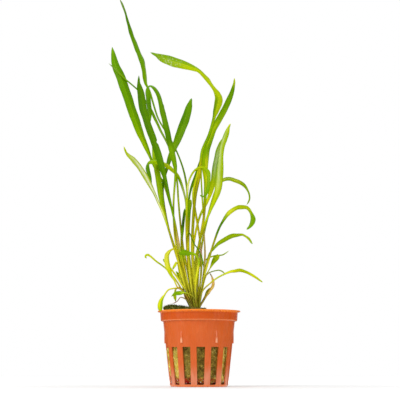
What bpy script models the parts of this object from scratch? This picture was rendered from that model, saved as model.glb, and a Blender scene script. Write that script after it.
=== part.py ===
"""Potted cryptocoryne: a rosette of leaves rising from a crown, rooted in a plug of rock wool that
stands in its slotted net pot.

Metres, +Z up. The origin is the centre of the pot's underside and the plant's front faces -Y.
Sizes below are millimetres, and each object is scaled to metres as its mesh is made.
"""
import math

import bmesh
import bpy
from mathutils import Matrix, Vector

METRES_PER_MM = 0.001
GAP = 0.3                  # left between pieces that touch

# Net pot
POT_HEIGHT = 50.0
RIM_RADIUS = 27.5
RIM_THICKNESS = 0.8
WALL = 0.8
FLOOR = 1.0
BAND_TOP_RADIUS = 25.8     # plain band under the rim
BAND_FOOT_RADIUS = 25.4
STEP_HEIGHT = 43.7         # the band steps in to the tapered body here
BODY_TOP_RADIUS = 23.8
BODY_FOOT_RADIUS = 19.1
FOOT_ROUNDING = 1.8
POT_FACETS = 42
SLOTS = 14
FIRST_RIB_ANGLE = math.radians(-99.6)
RIB_WIDTH = 4.15
SLOT_FOOT = 1.4
SLOT_TOP = 26.3
DRAINS = 7
DRAIN_WIDTH = 2.4
DRAIN_INNER = 6.5
DRAIN_OUTER = 14.0
NUBS = 6
NUB_WIDTH = 1.5
NUB_FOOT = 28.5
NUB_TOP = 35.8
NUB_PROUD = 0.8

# Rock wool plug
PLUG_FACETS = 22
PLUG_TOP = 48.3
MOUND_HEIGHT = 6.0
MOUND_REACH = 11.2
MOUND_CENTRE = (-16.0, 2.0)
PLUG_LEFT_CLEARANCE = 0.9
PLUG_RIGHT_CLEARANCE = 2.7
PLUG_LEFT_BULGE = 0.9      # over the pot's inner step

# Crown: the short creeping stem that all the leaves grow from, lying front to back in the wool
CROWN_CENTRE = Vector((-2.5, 0.0, 51.0))
CROWN_SIZE = Vector((3.7, 8.4, 1.8))
CROWN_FACETS = 14

# Leaf layout. The leaves stand in rows from front to back, which fan apart as they rise.
# Their places are sighted from the front: across and up are where a point's line of sight
# from EYE crosses the plane through the pot's axis.
EYE = Vector((0.7, -850.0, 9.0))
ROW_SPACING = 1.15
FAN_HEIGHT = 28.0
LEAF_FOOT_CLEARANCE = 0.5
RINGS_PER_SPAN = 2
THINNEST_STALK = 0.9
SHEATH_SWELL = 0.5         # stalks are broadest a little above their feet
SHEATH_HEIGHT = 40.0
BLADE_THICKNESS = 0.5
WIDEST_BLADE = 7.0


# Materials

def linear(shade):
    """Turns one 0 to 255 screen shade into a linear value."""
    value = shade / 255
    return value / 12.92 if value <= 0.04045 else ((value + 0.055) / 1.055) ** 2.4


def make_material(name, colour, roughness):
    material = bpy.data.materials.new(name)
    material.use_nodes = True
    shader = material.node_tree.nodes["Principled BSDF"]
    shader.inputs["Base Color"].default_value = [linear(shade) for shade in colour] + [1.0]
    shader.inputs["Roughness"].default_value = roughness
    shader.inputs["Metallic"].default_value = 0.0
    material.diffuse_color = shader.inputs["Base Color"].default_value
    return material


def make_palette():
    return {
        "terracotta": make_material("terracotta_plastic", (222, 110, 62), 0.35),
        "wool": make_material("rock_wool_fibre", (115, 100, 45), 0.95),
        "crown": make_material("crown_tissue", (88, 70, 28), 0.7),
        "green": make_material("leaf_green", (110, 165, 10), 0.35),
        "dark": make_material("leaf_dark_green", (75, 130, 10), 0.4),
        "fresh": make_material("leaf_yellow_green", (175, 200, 20), 0.35),
        "yellow": make_material("leaf_yellow", (205, 205, 20), 0.4),
        "olive": make_material("stalk_olive", (160, 160, 20), 0.45),
        "brown": make_material("old_brown_tissue", (110, 80, 30), 0.7),
        "dead": make_material("dead_leaf_tan", (225, 165, 70), 0.75),
    }


# Mesh helpers

def add_object(name, mesh, material, collection):
    """Closes off a bmesh drawn in millimetres and adds it as an object in metres."""
    bmesh.ops.recalc_face_normals(mesh, faces=mesh.faces)
    bmesh.ops.scale(mesh, vec=Vector((METRES_PER_MM,) * 3), verts=mesh.verts)
    data = bpy.data.meshes.new(name)
    mesh.to_mesh(data)
    mesh.free()
    body = bpy.data.objects.new(name, data)
    if material:
        data.materials.append(material)
    collection.objects.link(body)
    return body


def extruded_ring(mesh, ring):
    """Extrudes a closed ring of vertices and returns the new ring in the same order."""
    edges = [mesh.edges.get(pair) for pair in zip(ring, ring[1:] + ring[:1])]
    made = bmesh.ops.extrude_edge_only(mesh, edges=edges)["geom"]
    fresh = [item for item in made if isinstance(item, bmesh.types.BMVert)]
    return [next(vert for vert in fresh if mesh.edges.get((vert, old))) for old in ring]


def loft(sections, tip):
    """Skins rings of points, one after another, capped at the first and closed at the tip."""
    mesh = bmesh.new()
    ring = [mesh.verts.new(point) for point in sections[0]]
    mesh.faces.new(ring)
    for section in sections[1:]:
        ring = extruded_ring(mesh, ring)
        for vert, point in zip(ring, section):
            vert.co = point
    ring = extruded_ring(mesh, ring)
    bmesh.ops.pointmerge(mesh, verts=ring, merge_co=tip)
    return mesh


def add_box(mesh, size, centre, angle, shape=None):
    """Adds a box that faces outwards at an angle round the pot: size is radial, tangential, up.

    shape, when given, moves each corner before the box is turned into place.
    """
    box = bmesh.ops.create_cube(mesh, size=1.0)["verts"]
    bmesh.ops.scale(mesh, vec=Vector(size), verts=box)
    bmesh.ops.translate(mesh, vec=Vector(centre), verts=box)
    if shape:
        for vert in box:
            shape(vert.co)
    bmesh.ops.rotate(mesh, matrix=Matrix.Rotation(angle, 3, "Z"), verts=box)


def boolean(body, operation, other):
    modifier = body.modifiers.new(operation.lower(), "BOOLEAN")
    modifier.operation = operation
    modifier.object = other
    modifier.solver = "EXACT"


def between(low, high, share):
    return low + (high - low) * share


def read_along(values, share):
    """Reads evenly spaced values at a share of the way from the first to the last."""
    if len(values) == 1:
        return values[0]
    place = share * (len(values) - 1)
    index = min(int(place), len(values) - 2)
    return between(values[index], values[index + 1], place - index)


# Net pot

def body_radius(up):
    """Outer radius of the pot's tapered body at a height."""
    return between(BODY_FOOT_RADIUS, BODY_TOP_RADIUS, up / STEP_HEIGHT)


def pot_profile():
    """Half section of the pot: up the inside, over the rim, down the outside and in to the axis."""
    rim_foot = POT_HEIGHT - RIM_THICKNESS
    edge = RIM_THICKNESS * 0.3
    shelf = STEP_HEIGHT + 1.0
    inner_foot = FLOOR + 1.0
    return [
        (0.0, FLOOR),
        (body_radius(FLOOR) - WALL - 1.0, FLOOR),
        (body_radius(inner_foot) - WALL, inner_foot),
        (body_radius(STEP_HEIGHT - 0.5) - WALL, STEP_HEIGHT - 0.5),
        (body_radius(shelf) - WALL, shelf),
        (BAND_FOOT_RADIUS - WALL, shelf),
        (BAND_TOP_RADIUS - WALL, POT_HEIGHT - edge),
        (BAND_TOP_RADIUS - WALL + edge, POT_HEIGHT),
        (RIM_RADIUS - edge, POT_HEIGHT),
        (RIM_RADIUS, POT_HEIGHT - edge),
        (RIM_RADIUS, rim_foot + edge),
        (RIM_RADIUS - edge, rim_foot),
        (BAND_TOP_RADIUS, rim_foot),
        (BAND_FOOT_RADIUS, STEP_HEIGHT + 0.5),
        (BAND_FOOT_RADIUS - 0.4, STEP_HEIGHT),
        (BODY_TOP_RADIUS + 0.3, STEP_HEIGHT - 0.1),
        (BODY_TOP_RADIUS, STEP_HEIGHT - 0.5),
        (body_radius(FOOT_ROUNDING), FOOT_ROUNDING),
        (body_radius(0.0) - FOOT_ROUNDING * 0.3, FOOT_ROUNDING * 0.3),
        (body_radius(0.0) - FOOT_ROUNDING, 0.0),
        (0.0, 0.0),
    ]


def make_slot_cutters(collection):
    """Wall slots between the ribs, and drain slots in the floor."""
    mesh = bmesh.new()
    pitch = 2 * math.pi / SLOTS
    foot_width = pitch * body_radius(SLOT_FOOT) - RIB_WIDTH
    top_width = pitch * body_radius(SLOT_TOP) - RIB_WIDTH

    def taper(corner):
        widths = (foot_width, top_width)
        corner.y *= widths[corner.z > between(SLOT_FOOT, SLOT_TOP, 0.5)]

    for index in range(SLOTS):
        angle = FIRST_RIB_ANGLE + (index + 0.5) * pitch
        centre = (BODY_TOP_RADIUS, 0.0, between(SLOT_FOOT, SLOT_TOP, 0.5))
        add_box(mesh, (16.0, 1.0, SLOT_TOP - SLOT_FOOT), centre, angle, taper)
    for index in range(DRAINS):
        angle = FIRST_RIB_ANGLE + 2 * math.pi * index / DRAINS
        centre = (between(DRAIN_INNER, DRAIN_OUTER, 0.5), 0.0, FLOOR / 2)
        add_box(mesh, (DRAIN_OUTER - DRAIN_INNER, DRAIN_WIDTH, FLOOR + 0.6), centre, angle)
    return add_object("slot_cutters", mesh, None, collection)


def make_nubs(collection):
    """Small wedges on the wall: square at the foot and fading into the wall at the top."""
    mesh = bmesh.new()

    def lean(corner):
        outside = corner.x > 0
        proud = 0.05 if corner.z > between(NUB_FOOT, NUB_TOP, 0.5) else NUB_PROUD
        corner.x = body_radius(corner.z) + (proud if outside else -WALL / 2)

    for index in range(NUBS):
        angle = 2 * math.pi * index / NUBS
        centre = (0.0, 0.0, between(NUB_FOOT, NUB_TOP, 0.5))
        add_box(mesh, (1.0, NUB_WIDTH, NUB_TOP - NUB_FOOT), centre, angle, lean)
    return add_object("wall_nubs", mesh, None, collection)


def make_pot(collection, cutters, palette):
    mesh = bmesh.new()
    verts = [mesh.verts.new((radius, 0.0, up)) for radius, up in pot_profile()]
    for pair in zip(verts, verts[1:]):
        mesh.edges.new(pair)
    pot = add_object("net_pot", mesh, palette["terracotta"], collection)
    turn = pot.modifiers.new("turn", "SCREW")
    turn.steps = POT_FACETS
    turn.render_steps = POT_FACETS
    turn.use_merge_vertices = True
    turn.merge_threshold = 0.000001
    boolean(pot, "UNION", make_nubs(cutters))
    boolean(pot, "DIFFERENCE", make_slot_cutters(cutters))


# Rock wool

def mound(x, y):
    """Height of the plug's mossy top: flat, with a broad mound towards the left."""
    distance = math.hypot(x - MOUND_CENTRE[0], y - MOUND_CENTRE[1])
    return PLUG_TOP + MOUND_HEIGHT / (1 + (distance / MOUND_REACH) ** 4)


def plug_radius(angle, up):
    """The plug leans on the pot's left wall and stands clear of the right one."""
    leaning = (1 - math.cos(angle)) / 2
    clearance = between(PLUG_RIGHT_CLEARANCE, PLUG_LEFT_CLEARANCE, leaning)
    lumps = 0.25 * math.sin(3 * angle + up / 6) + 0.2 * math.sin(7 * angle - up / 4)
    bulge = PLUG_LEFT_BULGE * leaning ** 2 if up > STEP_HEIGHT else 0.0
    return body_radius(up) - WALL - clearance + lumps + bulge


def plug_ring(up, share=1.0, height=None):
    """One ring of the plug, drawn in by share, at one level or laid on a height function."""
    ring = []
    for index in range(PLUG_FACETS):
        angle = 2 * math.pi * index / PLUG_FACETS
        radius = plug_radius(angle, up) * share
        x, y = radius * math.cos(angle), radius * math.sin(angle)
        ring.append(Vector((x, y, height(x, y) if height else up)))
    return ring


def make_rock_wool(collection, cutters, palette):
    floor = FLOOR + GAP + 0.1
    sections = [plug_ring(floor, 0.35), plug_ring(floor + 1.2, 0.7), plug_ring(floor + 3.4, 0.9)]
    sections += [plug_ring(up) for up in (8.0, 15.0, 22.0, 29.0, 36.0, 42.5, 46.0)]
    sections += [plug_ring(46.0, share, mound) for share in (0.97, 0.75, 0.5, 0.25)]
    wool = add_object("rock_wool_plug", loft(sections, (0.0, 0.0, mound(0, 0))),
                      palette["wool"], collection)
    socket = add_object("crown_socket", crown_mesh(GAP + 0.15), None, cutters)
    boolean(wool, "DIFFERENCE", socket)


# Crown

def crown_mesh(grown):
    mesh = bmesh.new()
    bmesh.ops.create_uvsphere(mesh, u_segments=CROWN_FACETS, v_segments=8, radius=1.0)
    bmesh.ops.scale(mesh, vec=CROWN_SIZE + Vector((grown,) * 3), verts=mesh.verts)
    bmesh.ops.translate(mesh, vec=CROWN_CENTRE, verts=mesh.verts)
    return mesh


def crown_top(x, y):
    """Height of the crown's upper surface, or of its middle plane outside it."""
    across = (x - CROWN_CENTRE.x) / CROWN_SIZE.x
    along = (y - CROWN_CENTRE.y) / CROWN_SIZE.y
    return CROWN_CENTRE.z + CROWN_SIZE.z * math.sqrt(max(0.0, 1 - across ** 2 - along ** 2))


# Leaves

def sighted(across, up, depth):
    """The point at a depth on the line of sight through (across, up)."""
    reach = 1 + depth / -EYE.y
    return Vector((between(EYE.x, across, reach), depth, between(EYE.z, up, reach)))


def smooth(points, span, share):
    """A point of the smooth curve that passes through all the points (Catmull-Rom)."""
    before = points[max(span - 1, 0)]
    start, end = points[span], points[span + 1]
    after = points[min(span + 2, len(points) - 1)]
    return 0.5 * (2 * start + (end - before) * share
                  + (2 * before - 5 * start + 4 * end - after) * share ** 2
                  + (3 * start - before - 3 * end + after) * share ** 3)


def section(centre, heading, width, thickness, roll):
    """Four corners of a flat lozenge across the leaf: edge, face, edge, back."""
    side = heading.cross(Vector((0, 1, 0))).normalized()
    side.rotate(Matrix.Rotation(roll, 3, heading))
    face = heading.cross(side).normalized()
    return [centre + side * width / 2, centre + face * thickness / 2,
            centre - side * width / 2, centre - face * thickness / 2]


def add_leaf(collection, name, material, row, foot, path, roll=(0,), swing=(0,)):
    """A leaf as one tapered strip: a stalk from the crown that widens into the blade.

    row is its place front to back, and foot its place across the crown. Each path point is
    (across, up, width as seen from the front). roll, in degrees, turns the blade about its
    own line, and swing, in mm, carries it in front of (-) or behind (+) its row. Both are
    spread evenly along the path.
    """
    depth = row * ROW_SPACING
    foot_up = crown_top(foot, depth) + GAP + LEAF_FOOT_CLEARANCE
    places = [(foot, foot_up, THINNEST_STALK)] + path
    centres, widths, rolls = [], [], []
    for index, (across, up, width) in enumerate(places):
        share = index / (len(places) - 1)
        fan = 1 + max(0.0, up - foot_up) / FAN_HEIGHT
        centres.append(sighted(across, up, depth * fan + read_along(swing, share)))
        turn = math.radians(read_along(roll, share))
        rise = min(1.0, (up - foot_up) / SHEATH_HEIGHT)
        swell = SHEATH_SWELL * math.sin(math.pi * max(0.0, rise))
        widths.append(min(max(width, THINNEST_STALK) / math.cos(turn), WIDEST_BLADE) + swell)
        rolls.append(turn)
    centres[0] = Vector((foot, depth, foot_up))

    sections = []
    steps = (len(places) - 1) * RINGS_PER_SPAN
    for step in range(steps):
        span, share = divmod(step / RINGS_PER_SPAN, 1)
        span = int(span)
        centre = smooth(centres, span, share)
        heading = (smooth(centres, span, share + 0.05) - centre).normalized()
        width = max(smooth(widths, span, share), THINNEST_STALK * 0.6)
        if span == len(places) - 2:
            width = between(widths[span], 0.0, share ** 1.5)
        flat = max(0.0, width - THINNEST_STALK)
        thickness = max(BLADE_THICKNESS, min(width, THINNEST_STALK + 0.3 - 0.4 * flat))
        if step == 0:
            heading = Vector((0, 0, 1))
        sections.append(section(centre, heading, width, thickness, smooth(rolls, span, share)))
    add_object(name, loft(sections, centres[-1]), material, collection)


def add_back_leaves(collection, palette):
    """Rows behind the crown's middle, which carry the tallest leaves."""
    add_leaf(collection, "tallest_leaf", palette["green"], 5, -3.0,
             [(-6, 70.5, 1.1), (-8, 91.5, 1.1), (-8.5, 111, 1.2), (-8, 130, 1.2),
              (-10.5, 145, 1.2), (-15.5, 158.5, 1.1), (-21, 169, 1), (-28, 181, 1.1),
              (-33.5, 199, 1.2), (-36, 204.5, 2), (-37, 212, 2.6), (-38.5, 220, 3.1),
              (-41.5, 227.5, 2.8), (-45, 236.5, 2.4), (-48, 246, 1.9), (-50, 253, 1.1),
              (-52, 258.5, 1.3), (-54.5, 264, 0)],
             roll=(0, 0, 0, 20, 50, 60, 50, 65, 40), swing=(0, 0, 0, 0, 3, 0))
    add_leaf(collection, "wisp_leaf", palette["olive"], 5, -0.8,
             [(-2.5, 67, 0.9), (-1, 77, 0.9), (2, 81.5, 0.9), (6.5, 85.5, 1),
              (12, 87, 1), (16, 87.5, 0.9), (20.5, 90.5, 0)],
             roll=(0, 0, 30, 40), swing=(0, 0, 2, 5))
    add_leaf(collection, "whip_leaf", palette["green"], 4, -3.8,
             [(-6.5, 70.5, 1), (-10.5, 91.5, 1.1), (-12.5, 108.5, 1.1), (-14, 126, 1.1),
              (-15, 139, 1.1), (-18, 151, 1), (-21, 162, 1.1), (-26, 172, 1.7),
              (-30.5, 182, 2.1), (-33.5, 188, 1.7), (-37.5, 194.5, 1.1), (-42, 200.5, 1),
              (-50, 207.5, 0.9), (-56.5, 214, 0.8), (-62, 219, 0)],
             roll=(0, 0, 10, 30, 55, 60, 30), swing=(0, 0, 0, 3, -3, -8))
    add_leaf(collection, "narrow_back_leaf", palette["dark"], 4, -1.8,
             [(-4.4, 70.5, 1), (-7, 90.5, 1), (-7.5, 111, 1), (-6.5, 126.5, 1.1),
              (-4.5, 135, 1.5), (-1.5, 143, 1.9), (2, 153, 2.1), (5.5, 163, 1.6), (8, 170.5, 0)],
             roll=(0, 0, 0, 30, 50, 55), swing=(0, 0, 0, 5))
    add_leaf(collection, "broad_left_leaf", palette["green"], 3, -4.2,
             [(-9, 70.5, 1), (-13.5, 90.5, 1), (-17, 112.5, 1), (-19.5, 122, 1.1),
              (-24, 136, 1.2), (-30, 146.5, 1.2), (-34, 156.5, 2.2), (-38.5, 167, 3.8),
              (-42.5, 177.5, 5.3), (-48, 193.5, 5.7), (-53, 208, 5.9), (-56.5, 216, 5),
              (-58.5, 223.5, 3.3), (-59.5, 230.5, 0)],
             roll=(0, 0, 0, 5, 25, 20, -5, -20), swing=(0, 0, 0, 0, 4, 10))
    add_leaf(collection, "centre_blade_leaf", palette["green"], 3, -2.4,
             [(-5.5, 70.5, 1), (-7, 90.5, 1.1), (-7, 105.5, 1.5), (-6.5, 116.5, 2.1),
              (-6, 122, 2.6), (-5.5, 125, 0)],
             roll=(0, 0, 20, 25))
    add_leaf(collection, "hook_leaf", palette["fresh"], 3, -0.8,
             [(-0.5, 74, 1), (2.5, 97.5, 1.1), (7.5, 119, 1.3), (12, 132.5, 1.6),
              (15, 137.5, 2), (20, 139, 2.1), (24, 138, 2), (28, 136.5, 2.1),
              (31, 134, 1.6), (33.5, 129.5, 0.9), (34, 125, 0.9), (32, 121, 0)],
             roll=(0, 0, 10, 40, 55, 60, 50), swing=(0, 0, 0, 3, 8))
    add_leaf(collection, "old_sheath_back", palette["brown"], 3, -5.7,
             [(-7, 56.5, 1.5), (-8.5, 59, 1.3), (-10, 61, 0)],
             roll=(0, 20, 30))
    add_leaf(collection, "broad_right_leaf", palette["dark"], 2, -5.2,
             [(-10, 70.5, 1), (-16.5, 91.5, 1.1), (-20, 103.5, 1.2), (-22.5, 115, 1.2),
              (-24.5, 128, 1.4), (-24, 137, 1.5), (-22, 145, 1.9), (-19.5, 154, 2.9),
              (-15, 165, 4.4), (-11, 175.5, 5.5), (-7.5, 186, 4.5), (-6, 191.5, 2.5),
              (-5, 194.5, 0)],
             roll=(0, 0, 0, -15, -30, -20, 5), swing=(0, 0, 0, 2, 9))
    add_leaf(collection, "short_centre_leaf", palette["dark"], 2, -3.6,
             [(-7.5, 68.5, 1), (-11.5, 91.5, 1.1), (-11, 104.5, 1.7), (-10, 114.5, 1.5),
              (-9.5, 119, 0)],
             roll=(0, 0, 30, 40))
    add_leaf(collection, "bare_leaf_stalk", palette["olive"], 2, -0.4,
             [(2.5, 70.5, 0.9), (4, 86.5, 0.9), (3.5, 99.5, 0.9), (3, 113.5, 0.9),
              (2, 128.5, 0.9), (1.5, 141, 0.9), (2, 148.5, 0)])


def add_middle_leaves(collection, palette):
    """Rows over the crown's middle."""
    add_leaf(collection, "yellow_left_leaf", palette["fresh"], 1, -4.6,
             [(-8.5, 68.5, 1), (-15.5, 90, 1.1), (-20, 103, 1.1), (-22.5, 112.5, 1.3),
              (-24.5, 120, 2.4), (-26, 129, 3.7), (-27.5, 138.5, 3.9), (-29, 147.5, 3.8),
              (-30.5, 154.5, 3), (-31, 161, 1.7), (-31.5, 166.5, 0)],
             roll=(0, 0, 0, -25, -40, -30))
    add_leaf(collection, "sheen_leaf", palette["green"], 1, -2.6,
             [(-3.5, 68.5, 1.1), (-4, 89, 1.2), (-2, 104, 1.2), (1, 114.5, 1.3),
              (4, 120.5, 1.6), (7.5, 128.5, 2.7), (9.5, 137.5, 4), (10.5, 146.5, 4.5),
              (12, 154, 4), (13.5, 160, 2.9), (15.5, 166.5, 0)],
             roll=(0, 0, 0, 20, 40, 45), swing=(0, 0, 0, -2, -5))
    add_leaf(collection, "loop_leaf", palette["dark"], 1, -0.8,
             [(1, 62.5, 0.9), (3.5, 71.5, 0.9), (7, 75.5, 0.9), (12, 77, 0.9),
              (14, 77, 0.9), (16, 76, 0.9), (17.5, 74.5, 0)],
             roll=(0, 0, 30, 40), swing=(0, 0, 1, 3))
    add_leaf(collection, "stub_leaf", palette["green"], 1, 0.5,
             [(3, 57.5, 1), (4.5, 60, 1.5), (6, 62.5, 2.2), (7.5, 64.5, 1.7), (8.5, 66, 0)],
             roll=(0, 10, 20))
    add_leaf(collection, "old_sheath_front", palette["brown"], 1, -5.8,
             [(-7.5, 57, 1.8), (-9, 60, 1.6), (-10.5, 62.5, 0)],
             roll=(0, 20, 30))
    add_leaf(collection, "small_left_leaf", palette["green"], 0, -5.4,
             [(-9, 64, 0.9), (-13, 72, 0.9), (-14, 74.5, 1), (-15.5, 76.5, 0)],
             roll=(0, 20, 30))
    add_leaf(collection, "bridge_leaf", palette["fresh"], 0, -3.6,
             [(-6, 70.5, 1), (-8, 94, 1), (-8.5, 114.5, 1), (-9, 124, 1),
              (-11, 132.5, 1.4), (-14, 140.5, 2), (-18, 145, 2.7), (-22.5, 148.5, 2.8),
              (-28.5, 150.5, 2.5), (-32.5, 150.5, 2), (-34.5, 149, 1.4), (-35, 145.5, 2.5),
              (-33.5, 140.5, 2.3), (-32, 135, 0)],
             roll=(0, 0, 0, 20, 50, 60, 65, 55), swing=(0, 0, 0, 0, 0, -3))
    add_leaf(collection, "yellow_mid_leaf", palette["yellow"], 0, -1.8,
             [(0, 63, 1), (1.5, 77.5, 1.1), (1, 94, 1.1), (-1.5, 111, 1.3),
              (-3.5, 122.5, 1.5), (-3.5, 131.5, 1.5), (-1, 141, 1.8), (2.5, 152, 2.5),
              (6, 163, 2.8), (9, 172, 1.9), (10, 178.5, 0)],
             roll=(0, 0, 0, 20, 45, 50))
    add_leaf(collection, "folded_leaf", palette["fresh"], 0, 0.2,
             [(3.5, 70, 0.9), (6, 76, 1), (8, 79.5, 1.8), (9.5, 82.5, 3.2), (11.5, 85.5, 4),
              (12.5, 87, 2.9), (12.5, 88, 0)],
             roll=(0, 0, 0, 10))
    add_leaf(collection, "twisted_leaf", palette["fresh"], -1, -6.0,
             [(-8, 58.5, 0.9), (-10.5, 65, 0.9), (-13, 75, 0.9), (-14, 81, 0.9), (-15, 82.5, 1.1),
              (-16, 80.5, 1.6), (-17, 79, 1.2), (-17.5, 77.5, 0)],
             roll=(0, 0, 20, 40), swing=(0, 0, -1.2, -2.6, -3))
    add_leaf(collection, "folded_over_leaf", palette["green"], -1, -4.6,
             [(-9.5, 68.5, 1), (-15, 91.5, 1), (-17, 110.5, 1), (-17, 126, 1.1),
              (-16, 139.5, 1.3), (-16, 147.5, 2), (-18, 156, 2.7), (-21, 169.5, 2.8),
              (-24, 182.5, 3), (-26, 191, 2.3), (-28, 197.5, 2.1), (-30.5, 201.5, 2),
              (-33, 203, 1.7), (-35, 201.5, 1.8), (-35, 196, 2.8), (-34, 187.5, 2.7),
              (-33.5, 183, 2), (-33, 178, 0)],
             roll=(0, 0, 0, 20, 45, 50, 60, 60, 50), swing=(0, 0, 0, 0, 0, 2, 7))
    add_leaf(collection, "tall_right_leaf", palette["green"], -1, -1.8,
             [(-2, 68.5, 1.1), (-0.5, 90.5, 1.3), (3, 111, 1.4), (4, 124.5, 1.6),
              (4.5, 138, 2.7), (4, 146.5, 4.1), (4.5, 155.5, 5), (6, 162.5, 4.8),
              (10, 173, 4.1), (15, 182, 3.9), (19, 190, 3.7), (22, 197, 2.7),
              (24, 205, 1.2), (24, 208.5, 0)],
             roll=(0, 0, 0, 10, 20, 35, 35, 45), swing=(0, 0, 0, 0, -6))
    add_leaf(collection, "low_arching_leaf", palette["green"], -1, -0.4,
             [(2.5, 68.5, 0.9), (4.5, 79.5, 0.9), (7, 88, 1), (9, 90.5, 1.1),
              (12.5, 94.5, 2.1), (17, 97.5, 2.8), (22, 100, 2.8), (25.5, 100.5, 2),
              (29, 101, 1.2), (31, 100, 1.1), (33.5, 98, 1.5), (36, 94.5, 0)],
             roll=(0, 0, 20, 40, 55, 60, 50), swing=(0, 0, -1, -3, -7))
    add_leaf(collection, "dead_leaf", palette["dead"], -1.6, 0.5,
             [(4, 58.5, 0.9), (6.5, 62, 0.9), (8.5, 65, 1.4), (9.5, 68, 1.8), (9, 72, 1.3),
              (7, 75.5, 0)],
             roll=(0, 20, 30, 40))


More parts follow.
